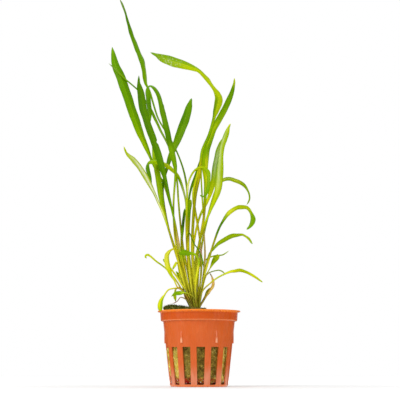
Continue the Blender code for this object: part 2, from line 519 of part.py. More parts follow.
def add_front_leaves(collection, palette):
    """Rows in front of the crown's middle, with the small leaves round the foot."""
    add_leaf(collection, "drooping_small_leaf", palette["fresh"], -2.1, -5.8,
             [(-7.5, 59, 0.9), (-11, 64, 0.9), (-13.5, 65.5, 0.9), (-15.5, 64.5, 0.9),
              (-16, 62, 1.3), (-16, 59.5, 2), (-15.5, 56, 0)],
             roll=(0, 0, 30, 30))
    add_leaf(collection, "dark_left_leaf", palette["dark"], -2, -4.0,
             [(-7.5, 68.5, 1), (-12.5, 89.5, 1.2), (-16, 108, 1.2), (-19, 121.5, 1.3),
              (-22, 135.5, 1.7), (-25, 146.5, 3), (-28, 157, 3.5), (-31.5, 167.5, 3.7),
              (-34.5, 176, 3.8), (-38, 188, 4.1), (-39.5, 198, 3.8), (-41, 204.5, 1.9),
              (-41, 210.5, 0)],
             roll=(0, 0, 0, 10, 35, 40, 25), swing=(0, 0, 0, -2, -7))
    add_leaf(collection, "swan_leaf", palette["fresh"], -2, -2.2,
             [(-3.5, 68.5, 1.3), (-4.5, 90.5, 1.5), (-4, 109, 1.6), (-2.5, 127.5, 1.7),
              (0, 139.5, 1.6), (2, 157.5, 1.7), (6.5, 168, 1.8), (10.5, 182, 1.9),
              (13, 190.5, 4), (13.5, 195, 3.2), (11, 200, 1.7), (7, 205.5, 1.8),
              (2.5, 211, 2), (-1.5, 214.5, 2.3), (-9.5, 217.5, 4.9), (-17.5, 220, 5.7),
              (-25, 222.5, 4.7), (-29, 224.5, 2.4), (-33.5, 226.5, 0)],
             roll=(0, 0, 0, 10, 30, 50, 45, 20, 15, 25), swing=(0, 0, 0, 0, -4, -12))
    add_leaf(collection, "arching_leaf", palette["green"], -2, -0.6,
             [(1, 63, 0.9), (4.5, 77, 1), (8, 89.5, 1), (12.5, 103, 1.2),
              (16, 110, 1.4), (20, 115.5, 2.5), (25, 119, 2.3), (28.5, 119.5, 2.5),
              (32.5, 119, 1.7), (35, 115.5, 1.5), (36, 111, 2.8), (34.5, 107, 1.8),
              (32, 104.5, 0)],
             roll=(0, 0, 10, 30, 55, 60, 50), swing=(0, 0, 0, -2, -6))
    add_leaf(collection, "curled_tip_leaf", palette["fresh"], -3.15, -5.8,
             [(-9, 60.5, 0.9), (-12, 65, 0.9), (-16.5, 72, 0.9), (-23, 79, 0.9),
              (-28.5, 83, 1), (-32.5, 86.5, 1.1), (-34.5, 87.5, 1.5), (-36, 86.5, 1.2),
              (-35, 85, 0)],
             roll=(0, 0, 20, 50), swing=(0, 0, -2, -5))
    add_leaf(collection, "pale_left_leaf", palette["fresh"], -3, -4.2,
             [(-8.5, 64, 1), (-11.5, 73.5, 1.1), (-15, 87.5, 1.1), (-19.5, 102, 1.1),
              (-24, 115, 1.2), (-27.5, 123, 1.3), (-30.5, 130, 1.6), (-34, 137, 2.3),
              (-38.5, 145, 2.8), (-44, 152, 2.8), (-49, 156.5, 1.4), (-51, 161.5, 0)],
             roll=(0, 0, 0, 15, 45, 55, 35), swing=(0, 0, 0, -3, -10))
    add_leaf(collection, "crook_leaf", palette["fresh"], -3, -2.4,
             [(-5, 68.5, 1), (-7, 90.5, 1), (-8, 109.5, 1), (-8, 124.5, 1),
              (-7, 136.5, 1), (-3.5, 144, 1.1), (1, 147, 1.3), (4, 146, 1.7),
              (6, 142.5, 2.9), (6.5, 137.5, 2.1), (5.5, 130.5, 2.2), (3, 127, 1.5),
              (0.5, 128, 0)],
             roll=(0, 0, 0, 20, 55, 55, 50), swing=(0, 0, 0, -2, -6))
    add_leaf(collection, "long_low_leaf", palette["fresh"], -3, 0.2,
             [(2, 62.5, 0.9), (7, 68, 0.9), (13, 72.5, 0.9), (20.5, 76, 1.3),
              (24, 76.5, 1.7), (27.5, 77, 1.9), (31, 76, 1.3), (36, 73.5, 1.3),
              (40.5, 70.5, 0.9), (42.5, 69, 0)],
             roll=(0, 0, 30, 50, 50, 50), swing=(0, 0, -2, -6, -10))
    add_leaf(collection, "rim_leaf", palette["fresh"], -4, -5.1,
             [(-8, 58.5, 0.9), (-10.5, 63, 0.9), (-13.5, 65, 0.9), (-17, 65, 0.9),
              (-20.5, 64, 0.9), (-23, 61, 1.2), (-25, 58, 2.2), (-25.5, 54.5, 2.7),
              (-25, 52, 0)],
             roll=(0, 0, 30, 40, 30, 20), swing=(0, -0.4, 0.2, 0, 0, 0, 0))
    add_leaf(collection, "thin_left_leaf", palette["olive"], -4, -3.9,
             [(-8, 62.5, 0.9), (-11.5, 67.5, 0.9), (-15, 73, 0.9), (-19.5, 79, 0.9),
              (-23, 83, 0.9), (-24, 85, 0)],
             roll=(0, 0, 30))
    add_leaf(collection, "pale_right_leaf", palette["fresh"], -4, -1.4,
             [(-2.5, 67, 1), (-2.5, 82.5, 1.1), (0, 94.5, 1.2), (3.5, 107, 1.3),
              (6, 113.5, 1.5), (8.5, 119.5, 2.5), (12, 128.5, 4.1), (13.5, 137, 4.6),
              (14, 148.5, 4.6), (15, 159.5, 4), (16.5, 165, 3.8), (18.5, 170, 3.1),
              (20, 174, 1.8), (21.5, 177, 0)],
             roll=(0, 0, 0, 0, -20, -30, -35), swing=(0, 0, 0, 0, -3, -9))
    add_leaf(collection, "yellow_curl_leaf", palette["yellow"], -5, -4.6,
             [(-7.5, 58.5, 0.9), (-10.5, 63, 1), (-14.5, 66, 0.9), (-16.5, 70.5, 1.1),
              (-19.5, 76, 2.2), (-21, 81, 3), (-21.5, 86.5, 2.9), (-20.5, 89, 2.2),
              (-19, 90.5, 1.3), (-15.5, 92.5, 0)],
             roll=(0, 0, 20, 40, 50, 55), swing=(0, -0.6, -1, -4))
    add_leaf(collection, "hanging_leaf", palette["dark"], -5, -3.0,
             [(-5, 65, 0.9), (-7, 82.5, 0.9), (-8, 96, 0.9), (-7.5, 101, 0.9),
              (-6.5, 102.5, 0.9), (-5, 99, 1.1), (-3, 94.5, 1.1), (-0.5, 91, 1),
              (2, 85, 1), (3, 78.5, 0)],
             roll=(0, 0, 20, 40, 40))
    add_leaf(collection, "flat_front_leaf", palette["fresh"], -5, -1.4,
             [(-2.5, 64, 0.9), (-1, 77, 0.9), (0, 82.5, 0.9), (-1, 85.5, 0.9),
              (-2.5, 87.5, 1.1), (-4.5, 88.5, 1.7), (-7.5, 88.5, 3.3), (-9.5, 89, 4.1),
              (-12, 88.5, 2.3), (-13.5, 88, 0)],
             roll=(0, 0, 0, 30, 15, 10), swing=(0, 0, -2, -6))
    add_leaf(collection, "surface_root", palette["brown"], -6, -5.0,
             [(-7.5, 56.5, 0.9), (-10, 58.5, 0.9), (-12.5, 59, 0.9), (-14, 57, 0.9),
              (-16, 55.5, 0.9), (-18, 55, 0)])
    add_leaf(collection, "tangled_leaf", palette["dark"], -6, -2.0,
             [(-2, 55.5, 0.9), (-3, 58.5, 0.9), (-6, 61, 0.9), (-9.5, 62, 0.9),
              (-11, 62, 1.7), (-13, 62, 2.3), (-16, 61.5, 1.7), (-18.5, 59.5, 0)],
             roll=(0, 0, 30, 30), swing=(0, -1.5, -1.5))


def main():
    for old in list(bpy.data.objects):
        bpy.data.objects.remove(old, do_unlink=True)
    parts = bpy.data.collections.new("potted_cryptocoryne")
    cutters = bpy.data.collections.new("cutters")
    for collection in (parts, cutters):
        bpy.context.scene.collection.children.link(collection)

    palette = make_palette()
    make_pot(parts, cutters, palette)
    make_rock_wool(parts, cutters, palette)
    add_object("crown", crown_mesh(0.0), palette["crown"], parts)
    add_back_leaves(parts, palette)
    add_middle_leaves(parts, palette)
    add_front_leaves(parts, palette)

    for cutter in cutters.objects:
        cutter.display_type = "WIRE"
        cutter.hide_render = True


main()
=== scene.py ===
import math
import random

import bmesh
import bpy
from mathutils import Matrix, Vector, noise
from mathutils.bvhtree import BVHTree


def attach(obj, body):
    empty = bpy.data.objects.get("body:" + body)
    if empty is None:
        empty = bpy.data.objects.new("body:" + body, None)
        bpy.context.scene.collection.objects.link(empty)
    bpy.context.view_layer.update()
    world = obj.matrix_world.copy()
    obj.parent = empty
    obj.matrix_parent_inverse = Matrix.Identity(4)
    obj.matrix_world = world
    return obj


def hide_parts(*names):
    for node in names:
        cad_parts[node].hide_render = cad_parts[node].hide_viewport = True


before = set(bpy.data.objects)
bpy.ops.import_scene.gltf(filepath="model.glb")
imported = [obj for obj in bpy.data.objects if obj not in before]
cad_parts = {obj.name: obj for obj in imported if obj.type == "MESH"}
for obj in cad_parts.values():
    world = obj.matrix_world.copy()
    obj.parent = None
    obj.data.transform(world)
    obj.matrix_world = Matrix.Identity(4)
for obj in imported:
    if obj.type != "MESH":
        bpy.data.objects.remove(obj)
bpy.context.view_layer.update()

# Potted cryptocoryne: every piece is built on the nodes of the frame, in metres, +Z up.
mm = 0.001
fullTurn = 2 * math.pi


# Small sums

def between(low, high, share):
    return low + (high - low) * share


def smoothStep(low, high, value):
    share = min(1.0, max(0.0, (value - low) / (high - low)))
    return share * share * (3 - 2 * share)


def readAlong(values, place):
    # a value of an evenly spaced list at a place counted in list steps, smoothly (Catmull-Rom)
    index = min(int(place), len(values) - 2)
    share = place - index
    before, start = values[max(index - 1, 0)], values[index]
    end, after = values[index + 1], values[min(index + 2, len(values) - 1)]
    return 0.5 * (2 * start + (end - before) * share
                  + (2 * before - 5 * start + 4 * end - after) * share ** 2
                  + (3 * start - before - 3 * end + after) * share ** 3)


def bell(place, centre, reach):
    return math.exp(-((place - centre) / reach) ** 2)


def polar(radius, degrees, up):
    turn = math.radians(degrees)
    return Vector((radius * math.cos(turn), radius * math.sin(turn), up))


# Colours, as screen shades

tones = {
    # the palest tones also serve as painted highlights and sheen on leaves
    "white": (240, 240, 222), "haze": (206, 216, 166), "pale": (224, 228, 122),
    "glint": (220, 220, 84), "canary": (232, 234, 66), "straw": (206, 204, 30),
    "lemon": (208, 216, 14), "yellow": (202, 198, 4), "wheat": (186, 180, 14),
    "gold": (186, 166, 4), "fresh": (174, 194, 4), "lime": (142, 176, 0), "leaf": (115, 160, 0),
    "green": (98, 147, 0), "deep": (80, 129, 0), "dark": (56, 98, 6), "grey": (116, 146, 56),
    "steel": (154, 176, 84), "olive": (148, 150, 2), "moss": (106, 108, 2),
    "amber": (184, 134, 28), "sand": (226, 184, 92), "tan": (192, 168, 92),
    "rose": (190, 150, 118), "brown": (128, 100, 18), "umber": (78, 66, 6),
}


def linear(shade):
    value = shade / 255
    return value / 12.92 if value <= 0.04045 else ((value + 0.055) / 1.055) ** 2.4


def colour(tone):
    shades = tones[tone] if isinstance(tone, str) else tone
    return [linear(shade) for shade in shades] + [1.0]


def readStops(text):
    # "17 gold" is the tone gold at 17 % of the way
    rows = [row.split() for row in text.split(", ")]
    return [(float(percent) / 100, tone) for percent, tone in rows]


# Shader helpers

class Wire:
    # a shader socket that takes plain signs, so that sums of sockets read like other sums
    def __init__(self, socket):
        self.socket, self.tree = socket, socket.id_data

    def __add__(self, other):
        return calc("ADD", self, other)

    def __sub__(self, other):
        return calc("SUBTRACT", self, other)

    def __rsub__(self, other):
        return calc("SUBTRACT", other, self)

    def __mul__(self, other):
        return calc("MULTIPLY", self, other)

    def __truediv__(self, other):
        return calc("DIVIDE", self, other)


def wiresOf(node):
    # a node's outputs, by name and by number
    wires = [Wire(socket) for socket in node.outputs]
    return {wire.socket.name: wire for wire in wires} | dict(enumerate(wires))


def feed(node, feeds):
    # feeds maps an input's name or number to a value or to the wire that drives it
    for key, value in feeds.items():
        if isinstance(value, Wire):
            value.tree.links.new(value.socket, node.inputs[key])
        else:
            node.inputs[key].default_value = value


def addNode(tree, kind, feeds, **settings):
    node = tree.nodes.new(kind)
    for key, value in settings.items():
        setattr(node, key, value)
    feed(node, feeds)
    return wiresOf(node)


def calc(operation, first, second=0.0):
    tree = (first if isinstance(first, Wire) else second).tree
    return addNode(tree, "ShaderNodeMath", {0: first, 1: second}, operation=operation)[0]


def ease(value, low, high, newLow=0.0, newHigh=1.0):
    feeds = dict(enumerate((value, low, high, newLow, newHigh)))
    return addNode(value.tree, "ShaderNodeMapRange", feeds, interpolation_type="SMOOTHSTEP")[0]


def mixColour(share, first, second):
    # each colour is a wire or a tone
    feeds = {0: share}
    for key, tone in ((6, first), (7, second)):
        feeds[key] = tone if isinstance(tone, Wire) else colour(tone)
    return addNode(share.tree, "ShaderNodeMix", feeds, data_type="RGBA")[2]


def noiseValue(place, scale, detail=3.0, roughness=0.55):
    feeds = {"Vector": place, "Scale": scale, "Detail": detail, "Roughness": roughness}
    return addNode(place.tree, "ShaderNodeTexNoise", feeds)["Fac"]


def stretched(place, scale, turn=(0.0, 0.0, 0.0)):
    feeds = {"Vector": place, "Scale": scale, "Rotation": turn}
    return addNode(place.tree, "ShaderNodeMapping", feeds)[0]


def splitAxes(place):
    wires = addNode(place.tree, "ShaderNodeSeparateXYZ", {0: place})
    return [wires[axis] for axis in range(3)]


def lengthOf(place):
    return addNode(place.tree, "ShaderNodeVectorMath", {0: place}, operation="LENGTH")["Value"]


def shiftValue(tone, value, hue=0.5):
    feeds = {"Color": tone, "Value": value, "Hue": hue}
    return addNode(value.tree, "ShaderNodeHueSaturation", feeds)[0]


def addRamp(factor, stops):
    node = factor.tree.nodes.new("ShaderNodeValToRGB")
    feed(node, {0: factor})
    node.color_ramp.interpolation = "EASE"
    elements, stops = node.color_ramp.elements, readStops(stops)
    while len(elements) < len(stops):
        elements.new(1.0)
    for element, (place, tone) in zip(elements, stops):
        element.position, element.color = place, colour(tone)
    return Wire(node.outputs[0])


def addBump(height, distance, strength, **normal):
    feeds = {"Height": height, "Distance": distance, "Strength": strength, **normal}
    return addNode(height.tree, "ShaderNodeBump", feeds)["Normal"]


def newGroup(name, inputs, outputs):
    # inputs and outputs map a name to its starting value: a number, a colour or None for a vector
    group = bpy.data.node_groups.new(name, "ShaderNodeTree")
    kinds = {float: "NodeSocketFloat", list: "NodeSocketColor", type(None): "NodeSocketVector"}
    for side, sockets in (("INPUT", inputs), ("OUTPUT", outputs)):
        for label, value in sockets.items():
            socket = group.interface.new_socket(
                name=label, in_out=side, socket_type=kinds[type(value)])
            if value is not None:
                socket.default_value = value
    given = wiresOf(group.nodes.new("NodeGroupInput"))
    return group, given, group.nodes.new("NodeGroupOutput")


def newMaterial(name, **surface):
    # surface gives the shader's plain values by input name, with _ for a space
    material = bpy.data.materials.new(name)
    material.use_nodes = True
    tree = material.node_tree
    shader = tree.nodes["Principled BSDF"]
    for key, value in surface.items():
        shader.inputs[key.replace("_", " ")].default_value = value
    return material, shader, addNode(tree, "ShaderNodeTexCoord", {})["Object"]


# Mesh helpers

def mergedCopy(node):
    mesh = bmesh.new()
    mesh.from_mesh(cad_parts[node].data)
    bmesh.ops.remove_doubles(mesh, verts=mesh.verts, dist=0.001 * mm)
    return mesh


def smoothed(mesh, rounds=1):
    for _ in range(rounds):
        bmesh.ops.smooth_vert(mesh, verts=mesh.verts, factor=0.5, use_axis_x=True,
                              use_axis_y=True, use_axis_z=True)


def roughen(mesh, lumps, lumpScale, fuzz, fuzzScale):
    # noise along each vertex's own normal
    mesh.normal_update()
    moves = []
    for vert in mesh.verts:
        slow = noise.fractal(vert.co * lumpScale, 1.0, 2.0, 3)
        quick = noise.fractal(vert.co * fuzzScale, 0.8, 2.0, 3)
        moves.append(vert.normal * (lumps * slow + fuzz * quick) * mm)
    for vert, move in zip(mesh.verts, moves):
        vert.co += move


def addObject(name, data):
    made = bpy.data.objects.new(name, data)
    bpy.context.scene.collection.objects.link(made)
    return made


def addMesh(name, mesh, *materials):
    # an object from a bmesh, which is freed
    data = bpy.data.meshes.new(name)
    mesh.to_mesh(data)
    mesh.free()
    for material in materials:
        data.materials.append(material)
    return addObject(name, data)


def addPiece(name, mesh, material, node):
    # a finished piece in place of a node: it rides the root body, and the node is hidden
    piece = addMesh(name, mesh, material)
    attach(piece, "root")
    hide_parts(node)
    return piece


def camel(name):
    head, *rest = name.split("_")
    return head + "".join(word.capitalize() for word in rest)


# Leaf skin: across runs 0 to 1 from margin to margin and along 0 to 1 from foot to tip

skinGrain = {
    "streaks": (7.0, 16.0, 60.0),      # fine streaks across a leaf, along it, and from leaf to leaf
    "clouds": 260.0, "flecks": 900.0,
    "veins": 5.0, "veinDepth": 0.05, "midrib": 0.08, "mottle": 0.07,
    # painted shade: how much the sides of blades and of stalks are darkened
    "bladeSides": 0.1, "stalkSides": 0.37,         # how much darker the sides are
    "sheathRibs": 0.5,
    # painted light: the heights over which the stalks are brightened and how much, then the heights
    # of the painted glint
    "through": (0.13, 0.07, 0.0, 0.3),             # heights that light passes through, and how much
    "glint": (0.1, 0.065),                         # heights below which stalks shine
}

stripe = {"Amount": 0.0, "Centre": 0.5, "Width": 0.1, "From": 0.3, "To": 0.8}
skinParts = {
    # what each part takes after its tone, and what it has where a leaf's look is silent
    "Half": {"Amount": 0.0, "From": 0.0, "To": 1.0},
    "Margin": {"Amount": 0.0}, "Streak": stripe, "Bloom": stripe,
}


def makeLeafSkin():
    base = [0.2, 0.4, 0.01, 1.0]
    inputs = {"Across": 0.5, "Along": 0.5, "Place": None, "Stalk End": 0.5, "Colour": base,
              "Mottle": skinGrain["mottle"], "Flecks": 0.0}
    for part, values in skinParts.items():
        inputs[part + " Colour"] = base
        inputs.update({part + " " + label: value for label, value in values.items()})
    group, given, ending = newGroup(
        "leafSkin", inputs, {"Colour": base, "Roughness": 0.5, "Height": 0.0})
    across, along, place = given["Across"], given["Along"], given["Place"]

    def reachOf(part, low, high):
        # where along the leaf a part of the skin lies, with soft ends
        return (ease(along - given[part + " From"], low, high)
                * ease(given[part + " To"] - along, low, high))

    # fine streaks run with the leaf, and differ from leaf to leaf with its place
    fromMid = calc("ABSOLUTE", across - 0.5)
    _, deep, up = splitAxes(place)
    grain = [value * scale for value, scale in zip((across, along, deep), skinGrain["streaks"])]
    grain = addNode(group, "ShaderNodeCombineXYZ", dict(enumerate(grain)))[0]
    streaks = noiseValue(grain, 1.0, 2.0)
    clouds = noiseValue(place, skinGrain["clouds"], 2.5)

    # one half of a folded blade is another tone, partly painted light and shade of the fold; the
    # margins are another tone
    wobble = (clouds - 0.5) * 0.25
    side = ease(across + wobble, 0.47, 0.56) * reachOf("Half", -0.03, 0.05)
    skin = mixColour(side * given["Half Amount"], given["Colour"], given["Half Colour"])
    edge = ease(fromMid + wobble, 0.36, 0.48)
    skin = mixColour(edge * given["Margin Amount"], skin, given["Margin Colour"])

    # two long stripes: a streak of another tone, and over it a painted highlight, a pale sheen
    patchy = ease(streaks, 0.2, 0.75, 0.35, 1.0)
    for part, fade in (("Streak", 0.05), ("Bloom", 0.12)):
        offset = (across - given[part + " Centre"]) / given[part + " Width"]
        fall = calc("POWER", math.e, offset * offset * -1.0)
        reach = reachOf(part, 0.0, fade)
        bloom = fall * reach * patchy * given[part + " Amount"]
        skin = mixColour(bloom, skin, given[part + " Colour"])

    # veins, a paler midrib and slow changes of tone
    veins = (calc("SINE", across * (skinGrain["veins"] * fullTurn)) + 1.0) * 0.5
    tone = ((clouds - 0.5) * given["Mottle"] + (streaks - 0.5) * given["Mottle"] * 0.8
            + (veins - 0.5) * skinGrain["veinDepth"]
            + ease(fromMid, 0.07, 0.015) * skinGrain["midrib"])

    # painted shade darkens the sides of stalks, and less those of blades, as though they turned
    # from the light; the sheaths are ribbed
    stalk = ease(along - given["Stalk End"], 0.04, -0.08)
    sides = ease(stalk, 0.0, 1.0, skinGrain["bladeSides"], skinGrain["stalkSides"])
    rounding = ease(fromMid, 0.15, 0.5) * sides
    ribs = (streaks - 0.45) * ease(along, 0.2, 0.05) * skinGrain["sheathRibs"]
    value = (tone * 2.0 + 1.0) * (1.0 - rounding) + ribs

    # painted light brightens the crowded stalks above the crown, as though light passed through
    # them, and painted glints lie on them
    through = stalk * ease(up, *skinGrain["through"])
    skin = shiftValue(skin, value * (through + 1.0), 0.5 - tone * 0.08)
    glint = ease(up, *skinGrain["glint"]) * ease(streaks - rounding, 0.3, 0.6, 0.0, 0.5)
    skin = mixColour(stalk * glint, skin, "glint")

    # small flecks of painted highlight, in the tone of the pale highlight stripe
    dots = ease(noiseValue(place, skinGrain["flecks"], 1.0), 0.58, 0.66)
    skin = mixColour(dots * reach * given["Flecks"], skin, given["Bloom Colour"])
    feed(ending, {"Colour": skin, "Height": veins * 0.6 + streaks * 0.7,
                  "Roughness": ease(clouds, 0.3, 0.7, 0.3, 0.42) - bloom * 0.05})
    return group


leafSkin = makeLeafSkin()


def makeLeafMaterial(name, look, stalkEnd):
    material, shader, place = newMaterial(
        name + "Skin", Specular_IOR_Level=look.get("shine", 0.035))
    across, along, _ = splitAxes(addNode(place.tree, "ShaderNodeUVMap", {}, uv_map="blade")[0])
    feeds = {"Across": across, "Along": along, "Place": place,
             "Colour": addRamp(along, look["shades"]), "Stalk End": stalkEnd}
    for label in ("Mottle", "Flecks"):
        if label.lower() in look:
            feeds[label] = look[label.lower()]
    for part, values in skinParts.items():
        if part.lower() in look:
            tone, *numbers = look[part.lower()]
            feeds[part + " Colour"] = colour(tone)
            feeds.update(zip([part + " " + label for label in values], numbers))
    skin = addNode(place.tree, "ShaderNodeGroup", feeds, node_tree=leafSkin)
    feed(shader, {"Base Color": skin["Colour"], "Roughness": skin["Roughness"],
                  "Normal": addBump(skin["Height"], 0.05 * mm, 0.3)})
    return material


# Leaf meshes

leafForm = {
    "stationStep": 0.8 * mm,      # length of one station along a leaf
    "sides": 20,                  # corners round a leaf's section
    "bladeHalf": 0.13 * mm,       # half of a blade's thickness
    "marginHalf": 0.07 * mm,
    "midrib": 0.16 * mm,          # height of the midrib under the blade
    "midribReach": 0.45 * mm,
    "stalkWidth": 1.5 * mm,       # a leaf narrower than this is all stalk
    "bladeWidth": 2.4 * mm,       # a leaf wider than this is all blade
    "stalkRound": 0.62,           # a stalk's thickness as a share of its width
    # a stalk's width at heights in mm, as a share of the strip's
    "girth": ((50, 1.0), (60, 0.86), (76, 0.88), (88, 1.2), (135, 1.2), (158, 1.0)),
    "groove": 0.45,               # depth of the groove above a stalk
    "wave": 13.0 * mm,            # length of one ruffle
    "beats": (6.283, 10.1, 4.4),  # radians per ruffle of its lift, a second lift and the width
    "marginWave": 0.03,           # how much the width comes and goes, as a share
    "channel": 0.16, "ruffle": 0.05,   # where a leaf's look names none
    "widerSpan": (1.5 * mm, 3.0 * mm),     # widths over which a look's wider sets in
    "footReach": 1.6 * mm,        # how far a foot runs down into the crown
    "sheathReach": 12 * mm,       # the clasping sheath at a stalk's foot
    "sheathSpread": 0.2 * mm,
}


def walkRound(ring):
    # the ring's four points in order: neighbours share an edge that borders another ring
    first = ring[0]
    near = [edge.other_vert(first) for edge in first.link_edges
            if any(vert not in ring for face in edge.link_faces for vert in face.verts)]
    sides = [vert for vert in ring[1:] if vert in near]
    opposite = next(vert for vert in ring[1:] if vert not in near)
    return [vert.co.copy() for vert in (first, sides[0], opposite, sides[1])]


def readLine(node):
    # centre, half width and half thickness of each of the node's rings, from foot to tip
    mesh = mergedCopy(node)
    for tip in mesh.verts:
        seen, layer, rings = {tip}, [tip], []
        while layer:
            reached = [edge.other_vert(vert) for vert in layer for edge in vert.link_edges]
            layer = [vert for vert in dict.fromkeys(reached) if vert not in seen]
            seen.update(layer)
            if layer:
                rings.append(layer)
        if all(len(ring) == 4 for ring in rings):
            break
    ordered = [walkRound(ring) for ring in reversed(rings)]
    for index in range(1, len(ordered)):
        turns = [ordered[index][k:] + ordered[index][:k] for k in range(4)]
        turns += [turn[::-1] for turn in turns]
        ordered[index] = min(turns, key=lambda ring: sum(
            (a - b).length for a, b in zip(ring, ordered[index - 1])))
    spans = [[(ring[k] - ring[k + 2]).length for k in (0, 1)] for ring in ordered]
    first, second = max(spans, key=max)
    if first < second:
        ordered = [ring[1:] + ring[:1] for ring in ordered]
    line = [(sum(ring, Vector()) / 4, (ring[0] - ring[2]) / 2, (ring[1] - ring[3]) / 2)
            for ring in ordered]
    line.append((tip.co.copy(), line[-1][1] * 0.0, line[-1][2] * 0.0))
    mesh.free()
    return line


def stationsOf(line, step):
    # evenly spaced stations: place, heading, side, face, half width, half thickness, distance
    centres, sides, depths = ([row[k] for row in line] for k in range(3))
    dense = 8
    spots = [k / dense for k in range((len(line) - 1) * dense + 1)]
    points = [readAlong(centres, spot) for spot in spots]
    runs = [0.0]
    for a, b in zip(points, points[1:]):
        runs.append(runs[-1] + (a - b).length)
    count = max(16, round(runs[-1] / step))
    stations, index = [], 0
    for k in range(count + 1):
        distance = runs[-1] * k / count
        while index < len(runs) - 2 and runs[index + 1] < distance:
            index += 1
        share = (distance - runs[index]) / max(runs[index + 1] - runs[index], 1e-9)
        spot = between(spots[index], spots[index + 1], min(1.0, share))
        heading = (readAlong(centres, min(spot + 0.05, len(line) - 1))
                   - readAlong(centres, max(spot - 0.05, 0))).normalized()
        side = readAlong(sides, spot)
        halfWidth = side.length
        if halfWidth < 0.02 * mm and stations:
            side = stations[-1][2]
        side = (side - heading * side.dot(heading)).normalized()
        stations.append((readAlong(centres, spot), heading, side, heading.cross(side), halfWidth,
                         readAlong(depths, spot).length, distance))
    return stations


def girthAt(up):
    for (low, first), (high, second) in zip(leafForm["girth"], leafForm["girth"][1:]):
        if up < high:
            return between(first, second, smoothStep(low, high, up))
    return 1.0


def sectionPoint(station, look, turn, share, phases):
    # the point of a leaf's skin at an angle round its section, and its place between the margins
    centre, heading, side, face, halfWidth, halfDepth, distance = station
    for place, reach, degrees in look.get("roll", ()):
        spin = Matrix.Rotation(math.radians(degrees) * bell(share, place, reach), 3, heading)
        side, face = spin @ side, spin @ face
    swing = math.cos(turn)
    across = swing * (0.6 + 0.4 * abs(swing))        # corners crowd towards the margins
    above = math.sin(turn)
    flat = smoothStep(leafForm["stalkWidth"], leafForm["bladeWidth"], halfWidth * 2)

    # the half width, with lobes and nicks of one margin or, for 0, of both
    reach = halfWidth * between(look.get("slim", 1.0), 1.0, flat)
    reach *= between(girthAt(centre.z / mm), 1.0, flat)
    reach += (look.get("wider", 0.0) * mm * smoothStep(*leafForm["widerSpan"], halfWidth * 2)
              * smoothStep(1.0, 0.94, share))
    for place, margin, size, length in look.get("lobes", ()):
        if margin * across >= 0:
            reach += size * mm * abs(across) * bell(share, place, length)

    # stalk: an oval with a shallow groove above
    oval = max(min(halfDepth, halfWidth), leafForm["stalkRound"] * reach) * above
    if above > 0:
        oval *= 1 - leafForm["groove"] * max(0.0, 1 - 4 * across * across)

    # blade: thin margins, a midrib below, a channel and ruffled margins
    fade = smoothStep(1.0, 0.97, share)
    thick = between(leafForm["bladeHalf"], leafForm["marginHalf"], abs(across))
    rib = leafForm["midrib"] * bell(across * halfWidth, 0.0, leafForm["midribReach"])
    thin = thick * above - (rib if above < 0 else -rib * 0.3) * fade
    channel = look.get("channel", leafForm["channel"])
    lift = channel * halfWidth * (abs(across) ** 1.4 - 0.4)
    ruffle = look.get("ruffle", leafForm["ruffle"]) * halfWidth * abs(across) ** 2
    first, second, slow = (distance / leafForm["wave"] * beat for beat in leafForm["beats"])
    pulse = phases[0] if across > 0 else phases[1]
    lift += ruffle * (math.sin(first + pulse) + 0.5 * math.sin(second + 2 * pulse))
    reach *= 1 + leafForm["marginWave"] * flat * math.sin(slow + pulse)

    # sheath that clasps the crown
    reach += leafForm["sheathSpread"] * smoothStep(leafForm["sheathReach"], 0.0, distance)
    rise = between(oval, thin + lift * fade, flat)
    bendFrom, move = look.get("tip", (0.5, (0.0, 0.0, 0.0)))
    bent = centre + Vector(move) * mm * smoothStep(bendFrom, 1.0, share)
    return bent + side * across * reach + face * rise, across


def makeLeaf(node, look):
    stations = stationsOf(readLine(node), leafForm["stationStep"])
    first = stations[0]
    stations.insert(0, (first[0] - first[1] * leafForm["footReach"],) + first[1:])
    seed = random.Random(node)
    phases = (seed.uniform(0, 6.28), seed.uniform(0, 6.28))
    total = stations[-1][6]
    if look.get("flip"):
        stations = [row[:2] + (-row[2], -row[3]) + row[4:] for row in stations]

    # a grid rolled up into a tube: x runs round the section and y along the leaf
    mesh = bmesh.new()
    layer = mesh.loops.layers.uv.new("blade")
    rows = len(stations) - 1
    bmesh.ops.create_grid(mesh, x_segments=leafForm["sides"], y_segments=rows, size=1.0)
    flat = {}
    for vert in mesh.verts:
        station = stations[round((vert.co.y + 1) / 2 * rows)]
        share = station[6] / total
        vert.co, across = sectionPoint(
            station, look, math.pi * (vert.co.x + 1), share, phases)
        flat[vert] = ((across + 1) / 2, share)
    for face in mesh.faces:
        for loop in face.loops:
            loop[layer].uv = flat[loop.vert]
        face.smooth = True
    bmesh.ops.remove_doubles(mesh, verts=mesh.verts, dist=0.0005 * mm)
    rim = [edge for edge in mesh.edges if edge.is_boundary]
    bmesh.ops.holes_fill(mesh, edges=rim, sides=0)
    bmesh.ops.recalc_face_normals(mesh, faces=mesh.faces)
    stalkEnd = next((row[6] / total for row in stations
                     if row[4] * 2 > leafForm["bladeWidth"]), 0.6)
    material = makeLeafMaterial(camel(node), look, stalkEnd)
    addPiece(camel(node), mesh, material, node)
